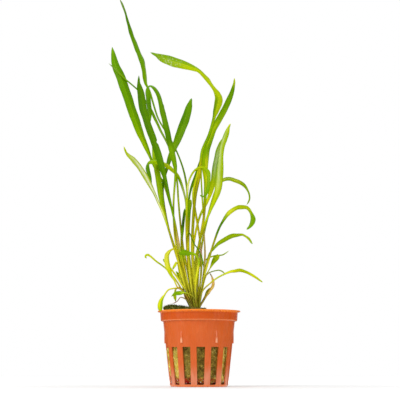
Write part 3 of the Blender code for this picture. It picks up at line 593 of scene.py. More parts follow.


# shades: tones at hundredths of a leaf's length, from foot to tip; the pale stops are painted
# highlights.
# half: tone, amount, from, to for the half past the midrib. margin: tone, amount.
# highlight (a painted pale sheen) and streak: tone, amount, centre and width across, from, to.
# lobes: share of the length, margin (0 for both), mm, reach. wider: mm added to both margins.
# slim: a stalk's width as a share. tip: from where the leaf bends, and by how many mm.
# roll: share, reach, degrees of a turn about the leaf's own line. flip: the other face is up.
leafLooks = {
    "tallest_leaf": dict(
        shades="5 wheat, 17 gold, 24 yellow, 32 fresh, 41 leaf, 50 green, 58 leaf, 70 leaf, "
               "80 green, 93 deep, 100 grey", bloom=("pale", 0.8, 0.7, 0.12, 0.63, 0.8),
        channel=0.35, lobes=((0.84, 0, 0.6, 0.14),)),
    "wisp_leaf": dict(
        shades="0 moss, 8 wheat, 35 yellow, 48 yellow, 56 fresh, 70 fresh, 82 lime, 100 fresh",
        slim=0.6),
    "whip_leaf": dict(
        shades="0 wheat, 5 olive, 20 straw, 30 olive, 40 fresh, 47 lime, 54 leaf, 70 leaf, "
               "77 green, 83 deep, 92 leaf, 100 grey", half=("green", 0.6, 0.5, 0.8),
        bloom=("pale", 0.5, 0.3, 0.08, 0.5, 0.75)),
    "narrow_back_leaf": dict(
        shades="0 wheat, 6 olive, 18 wheat, 29 lime, 37 olive, 45 wheat, 54 lime, 63 green, "
               "78 deep, 86 leaf"),
    "broad_left_leaf": dict(
        shades="0 wheat, 5 straw, 12 yellow, 18 straw, 24 gold, 30 olive, 36 green, 41 lime, "
               "50 leaf, 60 lime, 69 leaf, 78 green, 95 green, 100 leaf",
        half=("deep", 0.4, 0.4, 1.0), channel=0.12, ruffle=0.04, wider=0.3),
    "centre_blade_leaf": dict(
        shades="0 wheat, 6 moss, 12 wheat, 30 straw, 42 wheat, 52 olive, 64 moss, 75 olive, "
               "85 leaf, 100 lime"),
    "hook_leaf": dict(
        shades="0 olive, 10 wheat, 22 straw, 30 olive, 42 fresh, 53 lime, 60 fresh, 71 lemon, "
               "77 lime, 83 fresh, 88 lime", bloom=("pale", 0.6, 0.6, 0.12, 0.66, 0.88), wider=0.2,
        lobes=((0.96, 0, -0.25, 0.05),)),
    "old_sheath_back": dict(
        shades="0 umber, 30 brown, 60 olive, 80 amber, 100 gold", mottle=0.3),
    "broad_right_leaf": dict(
        shades="0 wheat, 5 olive, 16 pale, 22 wheat, 28 olive, 34 wheat, 45 olive, 52 deep, "
               "63 deep, 73 leaf, 80 green, 88 deep, 100 green", half=("leaf", 0.4, 0.6, 0.95),
        channel=0.14, ruffle=0.04, wider=0.35),
    "short_centre_leaf": dict(
        shades="8 olive, 25 straw, 40 olive, 54 lime, 65 olive, 76 leaf, 83 dark, 100 deep"),
    "bare_leaf_stalk": dict(
        shades="0 moss, 18 olive, 32 tan, 46 tan, 56 olive, 65 wheat, 75 fresh, 82 lime, "
               "92 fresh, 100 leaf"),
    "yellow_left_leaf": dict(
        shades="0 wheat, 5 olive, 13 straw, 19 wheat, 25 olive, 37 olive, 44 fresh, 56 fresh, "
               "63 lime, 90 lime, 100 green", half=("green", 0.4, 0.55, 0.9), ruffle=0.04),
    "sheen_leaf": dict(
        shades="0 wheat, 6 olive, 20 yellow, 46 yellow, 53 fresh, 62 lemon, 72 fresh, 78 lime, "
               "84 leaf, 100 lime", bloom=("haze", 0.6, 0.5, 0.3, 0.74, 1.0), channel=0.3,
        lobes=((0.84, -1, -1.2, 0.09), (0.8, 1, 0.3, 0.08))),
    "loop_leaf": dict(
        shades="0 brown, 12 moss, 40 olive, 58 wheat, 72 steel, 88 steel, 100 fresh", slim=0.65),
    "stub_leaf": dict(
        shades="0 umber, 15 moss, 40 olive, 72 olive, 86 gold, 100 sand", wider=0.2),
    "old_sheath_front": dict(
        shades="0 umber, 30 brown, 50 amber, 80 amber, 100 tan", mottle=0.3),
    "small_left_leaf": dict(
        shades="0 umber, 14 brown, 24 amber, 34 olive, 50 fresh, 80 fresh, 100 lime",
        lobes=((0.82, 0, 0.5, 0.15),)),
    "bridge_leaf": dict(
        shades="0 wheat, 5 straw, 18 straw, 24 amber, 30 olive, 39 wheat, 50 fresh, 60 steel, "
               "67 leaf, 73 fresh, 79 fresh, 85 lime, 90 deep", half=("fresh", 0.5, 0.45, 0.8),
        roll=((0.84, 0.06, -24),)),
    "yellow_mid_leaf": dict(
        shades="5 wheat, 12 straw, 22 olive, 28 rose, 38 straw, 46 yellow, 54 fresh, 62 lemon, "
               "72 lemon, 82 fresh, 93 lime, 100 leaf", half=("olive", 0.6, 0.3, 0.8), channel=0.4,
        mottle=0.04),
    "folded_leaf": dict(
        shades="28 olive, 40 straw, 55 wheat, 72 fresh, 84 lime, 100 fresh", channel=0.35,
        slim=0.85, lobes=((0.78, 0, -0.5, 0.14),)),
    "twisted_leaf": dict(
        shades="0 moss, 12 brown, 19 amber, 28 olive, 38 pale, 56 straw, 80 straw, 90 lemon, "
               "100 fresh"),
    "folded_over_leaf": dict(
        shades="5 wheat, 12 straw, 17 olive, 23 straw, 29 olive, 35 green, 41 fresh, 47 lime, "
               "53 leaf, 59 leaf, 64 deep, 71 green, 88 green, 93 deep, 100 green",
        lobes=((0.765, 1, 0.5, 0.006),), wider=0.6),
    "tall_right_leaf": dict(
        shades="5 wheat, 12 yellow, 22 olive, 34 wheat, 40 olive, 47 lime, 56 fresh, 61 lime, "
               "67 leaf, 75 lime, 84 leaf, 95 green, 98.5 fresh, 100 lemon",
        half=("lemon", 0.75, 0.5, 0.645), margin=("deep", 0.35),
        streak=("fresh", 0.7, 0.42, 0.16, 0.66, 0.82), bloom=("lemon", 0.8, 0.82, 0.16, 0.74, 0.9),
        lobes=((0.93, 0, 0.25, 0.06),)),
    "low_arching_leaf": dict(
        shades="42 olive, 53 leaf, 60 lime, 80 lime, 88 fresh, 100 lime",
        bloom=("fresh", 0.5, 0.3, 0.15, 0.4, 0.9), slim=0.85),
    "dead_leaf": dict(
        shades="0 olive, 8 tan, 19 brown, 34 amber, 46 sand, 80 sand, 88 tan, 95 brown, "
               "100 umber", mottle=0.25, ruffle=0.3, shine=0.2, lobes=((0.9, 0, -0.3, 0.07),)),
    "drooping_small_leaf": dict(
        shades="0 moss, 12 brown, 20 brown, 30 gold, 43 olive, 60 amber, 68 gold, 76 lime, "
               "92 fresh, 100 green"),
    "dark_left_leaf": dict(
        shades="5 wheat, 11 straw, 17 gold, 22 lime, 28 tan, 33 olive, 39 leaf, 45 green, "
               "52 deep", half=("green", 0.5, 0.5, 1.0), lobes=((0.705, 1, -0.9, 0.005),),
        ruffle=0.04, wider=0.6),
    "swan_leaf": dict(
        shades="5 wheat, 11 yellow, 18 wheat, 26 olive, 37 olive, 45 wheat, 51 lime, 56 leaf, "
               "62 lime, 67 fresh, 85 fresh, 94 lime, 100 leaf", half=("leaf", 0.7, 0.8, 0.97),
        flecks=0.55, bloom=("white", 0.1, 0.4, 0.2, 0.85, 1.0),
        streak=("deep", 0.95, 0.12, 0.3, 0.6, 0.74),
        lobes=((0.76, 0, 0.1, 0.05), (0.778, 1, 1.2, 0.014)), roll=((0.72, 0.03, -18),),
        wider=0.65),
    "arching_leaf": dict(
        shades="0 wheat, 6 brown, 17 olive, 26 straw, 36 olive, 46 olive, 53 deep, 59 deep, "
               "64 lime, 69 lemon, 76 fresh, 82 fresh, 90 leaf",
        bloom=("pale", 0.5, 0.4, 0.12, 0.6, 0.76), wider=0.15,
        lobes=((0.93, 1, 0.35, 0.06), (0.93, -1, 0.55, 0.06))),
    "curled_tip_leaf": dict(
        shades="0 moss, 13 brown, 19 amber, 25 olive, 35 wheat, 54 lemon, 66 fresh, 85 lemon, "
               "100 fresh", slim=0.85),
    "pale_left_leaf": dict(
        shades="5 wheat, 20 straw, 30 wheat, 37 olive, 44 olive, 50 fresh, 57 lemon, 66 fresh, "
               "97 fresh, 100 lemon", bloom=("white", 0.8, 0.42, 0.2, 0.48, 0.97), channel=0.3,
        wider=0.75),
    "crook_leaf": dict(
        shades="0 wheat, 5 olive, 18 wheat, 29 lime, 35 wheat, 45 olive, 54 fresh, 60 fresh, "
               "65 pale, 71 fresh, 77 fresh, 83 lime, 94 leaf, 100 green",
        bloom=("steel", 0.35, 0.5, 0.18, 0.8, 0.95)),
    "long_low_leaf": dict(
        shades="0 moss, 10 olive, 30 wheat, 45 fresh, 60 lemon, 76 fresh, 86 lemon, 100 fresh",
        slim=0.85),
    "rim_leaf": dict(
        shades="0 moss, 10 brown, 20 brown, 27 gold, 33 olive, 42 gold, 55 straw, 67 yellow, "
               "75 straw, 88 lemon, 100 fresh", half=("leaf", 0.8, 0.72, 1.0), flip=True, slim=0.85,
        tip=(0.6, (-0.2, -7.5, -2.4)), lobes=((0.9, 0, 0.35, 0.1), (0.98, 0, 0.5, 0.03))),
    "thin_left_leaf": dict(
        shades="0 umber, 12 brown, 20 wheat, 31 olive, 40 straw, 65 straw, 85 lemon, 96 lime"),
    "pale_right_leaf": dict(
        shades="0 wheat, 5 olive, 12 yellow, 20 olive, 40 olive, 46 fresh, 63 fresh, 72 lime, "
               "92 lime, 97 fresh, 100 lemon", half=("fresh", 0.5, 0.6, 0.95),
        streak=("lemon", 0.5, 0.3, 0.07, 0.55, 0.78), bloom=("haze", 0.62, 0.42, 0.2, 0.58, 1.0),
        margin=("leaf", 0.4), channel=0.3, wider=0.25,
        lobes=((0.57, 0, -0.5, 0.07), (0.82, -1, -1.7, 0.08), (0.81, 1, -0.5, 0.06))),
    "yellow_curl_leaf": dict(
        shades="0 brown, 7 umber, 14 amber, 21 olive, 33 amber, 40 straw, 52 fresh, 60 lemon, "
               "68 canary, 88 canary, 95 straw, 100 wheat", half=("lemon", 0.6, 0.45, 0.95),
        slim=0.8),
    "hanging_leaf": dict(
        shades="0 olive, 8 moss, 18 straw, 40 wheat, 52 gold, 60 moss, 68 deep, 80 deep, "
               "100 green", slim=0.75, lobes=((0.8, 0, -0.5, 0.13),)),
    "flat_front_leaf": dict(
        shades="0 olive, 8 moss, 20 wheat, 34 yellow, 46 lemon, 53 straw, 60 lime, 73 lime, "
               "85 leaf", channel=0.15),
    "surface_root": dict(
        shades="25 umber, 45 brown, 58 rose", shine=0.2, slim=0.65),
    "tangled_leaf": dict(
        shades="0 moss, 14 brown, 28 moss, 42 olive, 60 lime, 82 leaf, 100 lime", slim=0.8,
        lobes=((0.8, 0, 0.3, 0.14),)),
}


for nodeName, leafLook in leafLooks.items():
    makeLeaf(nodeName, leafLook)
print("leaves:", len(leafLooks))


# Net pot, in millimetres until its mesh is done

pot = {
    "height": 50.0, "rimRadius": 27.5, "rimThickness": 0.8, "wall": 0.8, "floor": 1.0,
    "bandTop": 25.8, "bandFoot": 25.4, "stepHeight": 43.2, "bodyTop": 23.8, "bodyFoot": 19.1,
    "slots": 14, "stepsPerSlot": 12, "firstRib": -99.6, "ribWidth": 4.15,
    "slotFoot": 1.4, "slotTop": 25.8, "slotInner": 15.8, "slotRounding": 0.16,
    "drainWidth": 2.4, "drainInner": 6.5, "drainOuter": 14.0,
    "bodyRings": (9.0, 18.0, 36.0), "floorRing": 10.0,     # extra rows of faces
    "nubs": 6, "nubWidth": 1.5, "nubFoot": 28.5, "nubTop": 35.8, "nubProud": (0.8, 0.04),
    "nubRounding": 0.12, "sharpAngle": 38,
    # where each tint fades in, upwards, outwards or proud of the body, and how much of it: painted
    # shade at the band, painted highlights at the rim, step and wedges, and a painted floor
    # reflection on the ribs
    "band": ((43.4, 44.1), (26.6, 26.2), 0.8),
    "rim": ((27.0, 27.4), (48.2, 48.9), (49.6, 49.3)),
    "step": ((24.2, 24.8), (43.9, 43.4), 0.6),
    "wedge": ((0.38, 0.62), (38.0, 36.0), 0.7),
    "haze": (16.0, 5.0), "foot": (1.7, 0.8),
}
# the band, rim, step, wedge and rib tones are painted shade, painted highlights and a painted floor
# reflection
tones.update({
    "plastic": (212, 94, 32), "plasticPale": (217, 101, 42), "plasticSmear": (222, 116, 62),
    "bandDeep": (206, 82, 12), "rimBright": (252, 138, 40), "stepPale": (244, 150, 90),
    "wedgePale": (250, 186, 146), "ribDull": (230, 146, 110), "footBright": (250, 136, 56),
})

pitchDegrees = 360 / pot["slots"]
potPitch = fullTurn / pot["slots"]


def bodyRadius(up):
    return between(pot["bodyFoot"], pot["bodyTop"], up / pot["stepHeight"])


def slotTurn(slot):
    return pot["firstRib"] + (slot + 0.5) * pitchDegrees


def halfShare(width, radius):
    # half of a width at a radius, as a share of the pitch
    return width / 2 / radius / potPitch


def potOutline():
    # half section, round from the floor's middle inside, over the rim and back under the floor
    wall, height, step = pot["wall"], pot["height"], pot["stepHeight"]
    rimFoot = height - pot["rimThickness"]
    # radius, height, rounding
    return (
        (0.0, pot["floor"], 0.0),
        (bodyRadius(1.0) - wall - 0.1, pot["floor"], 0.9),
        (bodyRadius(step) - wall, step + 0.7, 0.5),
        (pot["bandFoot"] - wall, step + 1.2, 0.5),
        (pot["bandTop"] - wall, height, 0.5),
        (pot["rimRadius"], height, 0.3),
        (pot["rimRadius"], rimFoot, 0.3),
        (pot["bandTop"], rimFoot, 0.35),
        (pot["bandFoot"], step, 0.8),
        (bodyRadius(step), step - 0.25, 0.3),
        (bodyRadius(0.0), 0.0, 1.5),
        (0.0, 0.0, 0.0),
    )


def roundedOutline(outline, cuts=4):
    # each corner gives way to a short arc that leaves its two edges at the rounding's distance
    corners = [Vector((x, 0, z)) for x, z, _ in outline]
    points = []
    for index, (here, (_, _, rounding)) in enumerate(zip(corners, outline)):
        if rounding == 0:
            points.append(here)
            continue
        start, end = (here + way.normalized() * min(rounding, way.length * 0.45)
                      for way in (corners[index - 1] - here, corners[index + 1] - here))
        for k in range(cuts + 1):
            share = k / cuts
            points.append(start.lerp(here, share).lerp(here.lerp(end, share), share))
    return points


def pitchPlace(co):
    # 0 at a rib's middle, 0.5 at a slot's, and the rib's number
    turn = (math.atan2(co.y, co.x) - math.radians(pot["firstRib"])) / potPitch
    rib = round(turn)
    return turn - rib, rib % pot["slots"]


def shapeRibs(verts):
    # moves the evenly spaced columns so that the ribs and drains keep their widths at any radius
    edge = 0.25                # a rib's side, as a share of the pitch, before it moves
    for vert in verts:
        radius = math.hypot(vert.co.x, vert.co.y)
        if radius < pot["drainInner"] * 0.5:
            continue
        wanted = between(halfShare(pot["drainWidth"], max(radius, pot["drainInner"])),
                         halfShare(pot["ribWidth"], max(radius, 12.0)),
                         smoothStep(pot["drainOuter"], 16.0, radius))
        place, rib = pitchPlace(vert.co)
        moved = (abs(place) / edge * wanted if abs(place) <= edge
                 else between(wanted, 0.5, (abs(place) - edge) / (0.5 - edge)))
        turn = math.radians(pot["firstRib"]) + (rib + math.copysign(moved, place)) * potPitch
        vert.co.x, vert.co.y = radius * math.cos(turn), radius * math.sin(turn)


def inHole(centre):
    # slots lie between the ribs, and drains in line with every other rib
    radius = math.hypot(centre.x, centre.y)
    place, rib = pitchPlace(centre)
    if radius > pot["slotInner"] and pot["slotFoot"] < centre.z < pot["slotTop"]:
        return abs(place) > halfShare(pot["ribWidth"], radius)
    if pot["drainInner"] < radius < pot["drainOuter"] and centre.z < pot["floor"] + 0.1:
        return rib % 2 == 0 and abs(place) < halfShare(pot["drainWidth"], radius)
    return False


def openHoles(mesh):
    # deletes the faces of both skins and joins the holes' rims, one pair at a time
    slotUp = (pot["slotFoot"] + pot["slotTop"]) / 2
    drainOut = (pot["drainInner"] + pot["drainOuter"]) / 2
    middles = [polar(bodyRadius(slotUp), slotTurn(slot), slotUp) for slot in range(pot["slots"])]
    middles += [polar(drainOut, slotTurn(slot - 0.5), 0.5) for slot in range(0, pot["slots"], 2)]
    doomed = [face for face in mesh.faces if inHole(face.calc_center_median())]
    bmesh.ops.delete(mesh, geom=doomed, context="FACES")
    rimEdges = [edge for edge in mesh.edges if edge.is_boundary]
    rims = {}
    for edge in rimEdges:
        centre = (edge.verts[0].co + edge.verts[1].co) / 2
        hole = min(range(len(middles)), key=lambda index: (middles[index] - centre).length)
        rims.setdefault(hole, []).append(edge)
    for edges in rims.values():
        bmesh.ops.bridge_loops(mesh, edges=edges)
    return rimEdges


def addFloorRings(mesh, radii):
    # cuts the floor's long wedges across at each radius
    for radius in radii:
        shares = {}
        for edge in mesh.edges:
            a, b = (math.hypot(vert.co.x, vert.co.y) for vert in edge.verts)
            inFloor = max(vert.co.z for vert in edge.verts) < pot["floor"] + 0.1
            if inFloor and edge.calc_length() > 3 and (
                    min(a, b) < radius - 0.01 and max(a, b) > radius + 0.01):
                shares[edge] = (radius - a) / (b - a)
        bmesh.ops.subdivide_edges(mesh, edges=list(shares), cuts=1, edge_percents=shares,
                                  use_grid_fill=False)


def roundEdges(mesh, edges, offset):
    return bmesh.ops.bevel(mesh, geom=edges, offset=offset, segments=2, profile=0.5,
                           affect="EDGES", material=-1)["faces"]


def toMetres(mesh):
    bmesh.ops.scale(mesh, vec=(mm, mm, mm), verts=mesh.verts)
    return mesh


def makePotMesh():
    mesh = bmesh.new()
    verts = [mesh.verts.new(point) for point in roundedOutline(potOutline())]
    for pair in zip(verts, verts[1:]):
        mesh.edges.new(pair)
    turn = Matrix.Rotation(math.radians(pot["firstRib"]), 3, "Z")
    bmesh.ops.rotate(mesh, matrix=turn, verts=mesh.verts)
    bmesh.ops.spin(mesh, geom=mesh.verts[:] + mesh.edges[:], cent=(0, 0, 0), axis=(0, 0, 1),
                   angle=fullTurn, steps=pot["slots"] * pot["stepsPerSlot"], use_merge=True)
    bmesh.ops.remove_doubles(mesh, verts=mesh.verts, dist=0.001)
    for height in (pot["slotFoot"], pot["slotTop"], *pot["bodyRings"]):
        bmesh.ops.bisect_plane(mesh, geom=mesh.verts[:] + mesh.edges[:] + mesh.faces[:],
                               plane_co=(0, 0, height), plane_no=(0, 0, 1), dist=0.0001)
    addFloorRings(mesh, (pot["drainInner"], pot["drainOuter"], pot["floorRing"]))
    bmesh.ops.recalc_face_normals(mesh, faces=mesh.faces)
    shapeRibs(mesh.verts)
    rims = openHoles(mesh)
    bmesh.ops.recalc_face_normals(mesh, faces=mesh.faces)
    roundEdges(mesh, [edge for edge in rims if edge.is_valid], pot["slotRounding"])
    return toMetres(mesh)


def addNubs(piece):
    mesh = bmesh.new()
    for index in range(pot["nubs"]):
        box = bmesh.ops.create_cube(mesh, size=1.0)["verts"]
        for vert in box:
            upper = vert.co.z > 0
            up = pot["nubTop"] if upper else pot["nubFoot"]
            out = bodyRadius(up) + (pot["nubProud"][upper] if vert.co.x > 0 else -pot["wall"] / 2)
            vert.co = Vector((out, vert.co.y * pot["nubWidth"], up))
        edges = dict.fromkeys(edge for vert in box for edge in vert.link_edges)
        faces = roundEdges(mesh, list(edges), pot["nubRounding"])
        rounded = dict.fromkeys(vert for face in faces for vert in face.verts)
        turn = Matrix.Rotation(fullTurn * index / pot["nubs"], 3, "Z")
        bmesh.ops.rotate(mesh, matrix=turn, verts=list(rounded))
    nubs = addMesh("nubs", toMetres(mesh))
    union = piece.modifiers.new("nubs", "BOOLEAN")
    union.operation, union.object, union.solver = "UNION", nubs, "EXACT"
    bpy.context.view_layer.update()
    view = bpy.context.evaluated_depsgraph_get()
    joined = bpy.data.meshes.new_from_object(piece.evaluated_get(view))
    piece.modifiers.remove(union)
    piece.data = joined
    bpy.data.objects.remove(nubs)


def makePlastic():
    material, shader, place = newMaterial(
        "terracottaPlastic", Specular_IOR_Level=0.33, Subsurface_Weight=0.06,
        Subsurface_Scale=1.0 * mm, Subsurface_Radius=(1.0, 0.35, 0.15))
    smears = noiseValue(stretched(place, (260.0, 260.0, 45.0)), 1.0)
    up, out = splitAxes(place)[2], lengthOf(stretched(place, (1.0, 1.0, 0.0)))
    slope = (pot["bodyTop"] - pot["bodyFoot"]) / pot["stepHeight"]
    proud = out - (up * slope + pot["bodyFoot"] * mm)

    def within(value, span, most=1.0):
        return ease(value, span[0] * mm, span[1] * mm, 0.0, most)

    tint = mixColour(ease(noiseValue(place, 90.0), 0.3, 0.7), "plastic", "plasticPale")
    tint = mixColour(ease(smears, 0.55, 0.8, 0.0, 0.1), tint, "plasticSmear")

    # painted shade deepens the band under the rim, where the rim shadows it, and a painted
    # highlight makes the rim paler
    rise, inwards, most = pot["band"]
    tint = mixColour(within(up, rise) * within(out, inwards, most), tint, "bandDeep")
    outwards, edgeFoot, edgeTop = pot["rim"]
    rim = calc("MAXIMUM", within(out, outwards), within(up, edgeFoot) * within(up, edgeTop))
    tint = mixColour(rim, tint, "rimBright")

    # painted highlights make the step's edge and the wedges' proud feet paler, where they catch the
    # light
    for value, key, tone in ((out, "step", "stepPale"), (proud, "wedge", "wedgePale")):
        outwards, down, most = pot[key]
        tint = mixColour(within(value, outwards) * within(up, down, most), tint, tone)

    # a painted reflection of the pale floor on the lower part of the ribs, and a bright foot
    haze = within(up, pot["haze"]) * ease(smears, 0.3, 0.6, 0.35, 0.8)
    tint = mixColour(haze, tint, "ribDull")
    tint = mixColour(within(up, pot["foot"], 0.8), tint, "footBright")
    fine = addBump(noiseValue(place, 5200.0, 2.0), 0.01 * mm, 0.2)
    feed(shader, {"Base Color": tint, "Roughness": ease(smears, 0.3, 0.75, 0.2, 0.34),
                  "Normal": addBump(smears, 0.06 * mm, 0.15, Normal=fine)})
    return material


netPot = addPiece("netPot", makePotMesh(), makePlastic(), "net_pot")
addNubs(netPot)
netPot.data.shade_smooth()
netPot.data.set_sharp_from_angle(angle=math.radians(pot["sharpAngle"]))
print("net pot:", len(netPot.data.polygons), "faces")


# Rock wool

wool = {
    "cuts": 5, "lumps": (0.5, 210.0), "fuzz": (0.22, 900.0),      # height and scale of each
    # spans run from where a change starts to where it is full, in height unless they say else
    "leftSwell": 1.35 * mm, "rightSwell": 0.9 * mm,    # how far each side bulges to the wall
    "swellSpan": (28 * mm, 22 * mm),
    "moundFoot": 40 * mm, "moundTop": 46 * mm, "moundShift": 1.3 * mm, "moundLumps": 0.8,
    "moundCap": 52.9 * mm, "moundShelf": 51.9 * mm,
    "shelfAcross": (-1 * mm, -4 * mm), "shelfDeep": (9 * mm, 6 * mm),
    "collarTop": 51.4 * mm, "collarReach": (10 * mm, 6.5 * mm), "collarShift": 2 * mm,
    "footSpan": (10 * mm, 4.8 * mm), "footAcross": (17 * mm, 14 * mm), "footClearance": 0.35,
    "leftToRight": (-12 * mm, 12 * mm),
    "tuftSpan": (21 * mm, 14 * mm), "tuftRight": (12 * mm, 14 * mm),
    "tuftAside": (10 * mm, 13.5 * mm), "strawAside": (9 * mm, 14 * mm),
    # heights of the dark red painted shade at the foot, on the block and on its fibres
    "rotSpan": (6.4 * mm, 4.8 * mm), "redShadeTop": 5.6 * mm,
    "mossSpan": (41.5 * mm, 46.5 * mm), "bareAcross": (-7 * mm, -1 * mm),
    "fibresPerSlot": 230, "fibreLength": (1.5, 4.0), "fibreRadius": (0.06, 0.13),
    "fibreStand": 0.35,
    "mossStrands": 3200, "mossLength": (0.7, 1.6), "mossRadius": (0.06, 0.12),
    "mossFrom": 30 * mm,             # moss grows on what lies above this
    # where moss crowds, as middle and spread across and in depth, and the span of the rest
    "mossCrowd": ((-0.012, 0.007), (0.0, 0.011)), "mossThin": (-0.023, 0.023),
    "grit": 300, "gritSize": (0.15, 0.42), "gritFoot": 1.3 * mm, "gritTop": 4.4 * mm,
    "crumbs": 90, "crumbSize": (0.25, 0.6),
    # spans across and in depth of the crumbs all over the moss, and of those round the crown
    "crumbPlaces": (((-0.02, 0.016), (-0.014, 0.014)), ((0.001, 0.007), (-0.006, 0.004))),
    # each shade holds up to its value of the noise
    "fibreShades": (("fibreDark", -0.12), ("fibreOlive", 0.2), ("fibreStraw", 0.46),
                    ("fibrePale", math.inf)),
    "mossShades": (("mossDark", 0.0), ("mossGreen", 0.36), ("mossPale", math.inf)),
}
strandTones = {
    "fibreDark": (122, 102, 40), "fibreOlive": (180, 158, 72), "fibreStraw": (230, 204, 84),
    "fibrePale": (246, 234, 140), "mossDark": (62, 72, 18), "mossGreen": (104, 116, 38),
    "mossPale": (172, 174, 106), "grit": (240, 234, 222), "crumb": (66, 44, 20),
    # dark red painted shade for fibres and grains at the foot
    "rust": (190, 24, 18),
}
tones.update(strandTones)
tones.update({
    "woolDark": (72, 56, 18), "woolBrown": (122, 102, 38), "woolOlive": (158, 138, 58),
    "woolPale": (190, 170, 80), "woolWeave": (186, 164, 76), "woolTuft": (226, 200, 62),
    # dark red painted shade at the foot of the block
    "woolRot": (150, 26, 18),
    "mossDeep": (44, 46, 12), "mossMiddle": (74, 80, 22), "mossLight": (106, 108, 40),
})
shadeSlots = {name: index + 1 for index, name in enumerate(strandTones)}


def makeWoolMaterial():
    material, shader, place = newMaterial("rockWool", Roughness=0.95, Specular_IOR_Level=0.1)
    right, _, up = splitAxes(place)
    patches = noiseValue(place, 330.0, 5.0, 0.65)
    weave = stretched(place, (700.0, 700.0, 1500.0), (0.4, 0.3, 0.0))
    weave = noiseValue(weave, 1.0, 4.0, 0.7)
    stain = addRamp(patches, "30 woolDark, 45 woolBrown, 56 woolOlive, 70 woolPale")
    stain = mixColour(ease(weave, 0.35, 0.7, 0.0, 0.4), stain, "woolWeave")

    # yellow tufts at both sides, and dark red painted shade at the foot, standing in for the pot's
    # shadowed inner wall
    aside = ease(calc("ABSOLUTE", right), *wool["tuftAside"])
    lower = calc("MAXIMUM", ease(up, *wool["tuftSpan"], 0.4, 1.0),
                 ease(right, *wool["tuftRight"], 0.0, 0.85))
    stain = mixColour(aside * lower * ease(patches, 0.3, 0.5, 0.3, 0.9), stain, "woolTuft")
    redShadeMask = (ease(up, *wool["rotSpan"]) * ease(patches, 0.35, 0.5, 0.6, 1.0)
           * ease(right, *wool["leftToRight"], 1.0, 0.35))
    stain = mixColour(redShadeMask, stain, "woolRot")

    # moss above, with bare wool here and there at the right
    moss = addRamp(patches, "30 mossDeep, 50 mossMiddle, 70 mossLight")
    bare = (ease(noiseValue(place, 150.0), 0.45, 0.6, 0.0, 0.75)
            * ease(right, *wool["bareAcross"]))
    moss = mixColour(bare, moss, stain)
    stain = mixColour(ease(up, *wool["mossSpan"]), stain, moss)
    feed(shader, {"Base Color": stain, "Normal": addBump(weave, 0.25 * mm, 0.8)})
    return material


def makeStrandMaterial(name):
    # one tone that drifts lighter and darker over a few millimetres
    material, shader, place = newMaterial(name, Roughness=0.9, Specular_IOR_Level=0.1)
    drift = ease(noiseValue(place, 600.0, 2.0), 0.3, 0.7, 0.75, 1.25)
    feed(shader, {"Base Color": shiftValue(colour(name), drift)})
    return material


def rightwards(place):
    return smoothStep(*wool["leftToRight"], place.x)


def shapeWool(mesh):
    # the block leans on the pot's left wall, and its mound stands further left with a lumpy top
    mesh.normal_update()
    for vert in mesh.verts:
        place, facing = vert.co, vert.normal.x
        swell = wool["leftSwell" if facing < 0 else "rightSwell"]
        place.x += (math.copysign(swell, facing) * facing ** 2
                    * smoothStep(*wool["swellSpan"], place.z))
        raised = smoothStep(wool["moundFoot"], wool["moundTop"], place.z)
        place.x -= wool["moundShift"] * raised
        shelf = (raised * smoothStep(*wool["shelfAcross"], place.x)
                 * smoothStep(*wool["shelfDeep"], abs(place.y)))
        place.z += shelf * max(0.0, wool["moundShelf"] - place.z)
        place.z -= 0.7 * max(0.0, place.z - wool["moundCap"])
        fromCrown = math.hypot(place.x + wool["collarShift"], place.y * 0.8)
        collar = raised * smoothStep(*wool["collarReach"], fromCrown)
        place.z += collar * max(0.0, wool["collarTop"] - place.z)
        place.z += wool["moundLumps"] * mm * raised * noise.noise(place * 330.0)

        # the block's foot fills the pot's corner, but for a gap at the right
        radius = math.hypot(place.x, place.y)
        wall = (bodyRadius(place.z / mm) - pot["wall"] - wool["footClearance"]) * mm
        full = smoothStep(*wool["footSpan"], place.z) * smoothStep(*wool["footAcross"], place.x)
        wanted = min(radius * 1.5, wall)
        if wanted > radius > 5 * mm:
            spread = between(radius, wanted, full) / radius
            place.x, place.y = place.x * spread, place.y * spread


def jitter(seed, size):
    return Vector([seed.uniform(-size, size) for _ in range(3)])


def pickShade(shades, value):
    return next(name for name, limit in shades if value < limit)


def fibreShade(place, seed):
    # patches of dark, olive, straw and pale fibres, with more straw at the far left and right
    low = max(smoothStep(*wool["tuftSpan"], place.z), smoothStep(*wool["tuftRight"], place.x))
    bias = 0.85 * smoothStep(*wool["strawAside"], abs(place.x)) * between(0.45, 1.0, low)
    value = (noise.noise(place * 420.0) * 0.8 + noise.noise(place * 1150.0) * 0.8
             + seed.uniform(-0.2, 0.2) + bias)
    # low fibres take the dark red painted shade, more of them at the left
    if place.z < wool["redShadeTop"] and seed.random() < between(0.75, 0.3, rightwards(place)):
        return "rust"
    return pickShade(wool["fibreShades"], value)


def addSpline(curve, points, radius, taper, shade):
    spline = curve.splines.new("POLY")
    steps = len(points) - 1
    spline.points.add(steps)
    for step, place in enumerate(points):
        spline.points[step].co = (*place, 1.0)
        spline.points[step].radius = radius * (1 - taper * step / steps)
    spline.material_index = shadeSlots[shade]


def addStrand(curve, surface, start, heading, length, radius, shade, stand, seed):
    # a thin strand that wanders over the surface and stands off it by turns
    steps = 3
    where, points = start.copy(), []
    for _ in range(steps + 1):
        near, normal = surface.find_nearest(where)[:2]
        where = near + normal * mm * stand * seed.uniform(0.2, 1.0)
        points.append(where.copy())
        heading = (heading + jitter(seed, 0.7)).normalized()
        where += heading * length * mm / steps
    addSpline(curve, points, radius, 0.6, shade)


def addTuft(curve, place, normal, length, radius, shade, seed):
    # a short strand that stands up from the surface
    heading = (normal + jitter(seed, 1.2)).normalized()
    points = [place + heading * length * mm * (step / 2 - 0.2)
              + jitter(seed, 0.2) * length * mm * step / 2 for step in range(3)]
    addSpline(curve, points, radius, 0.7, shade)


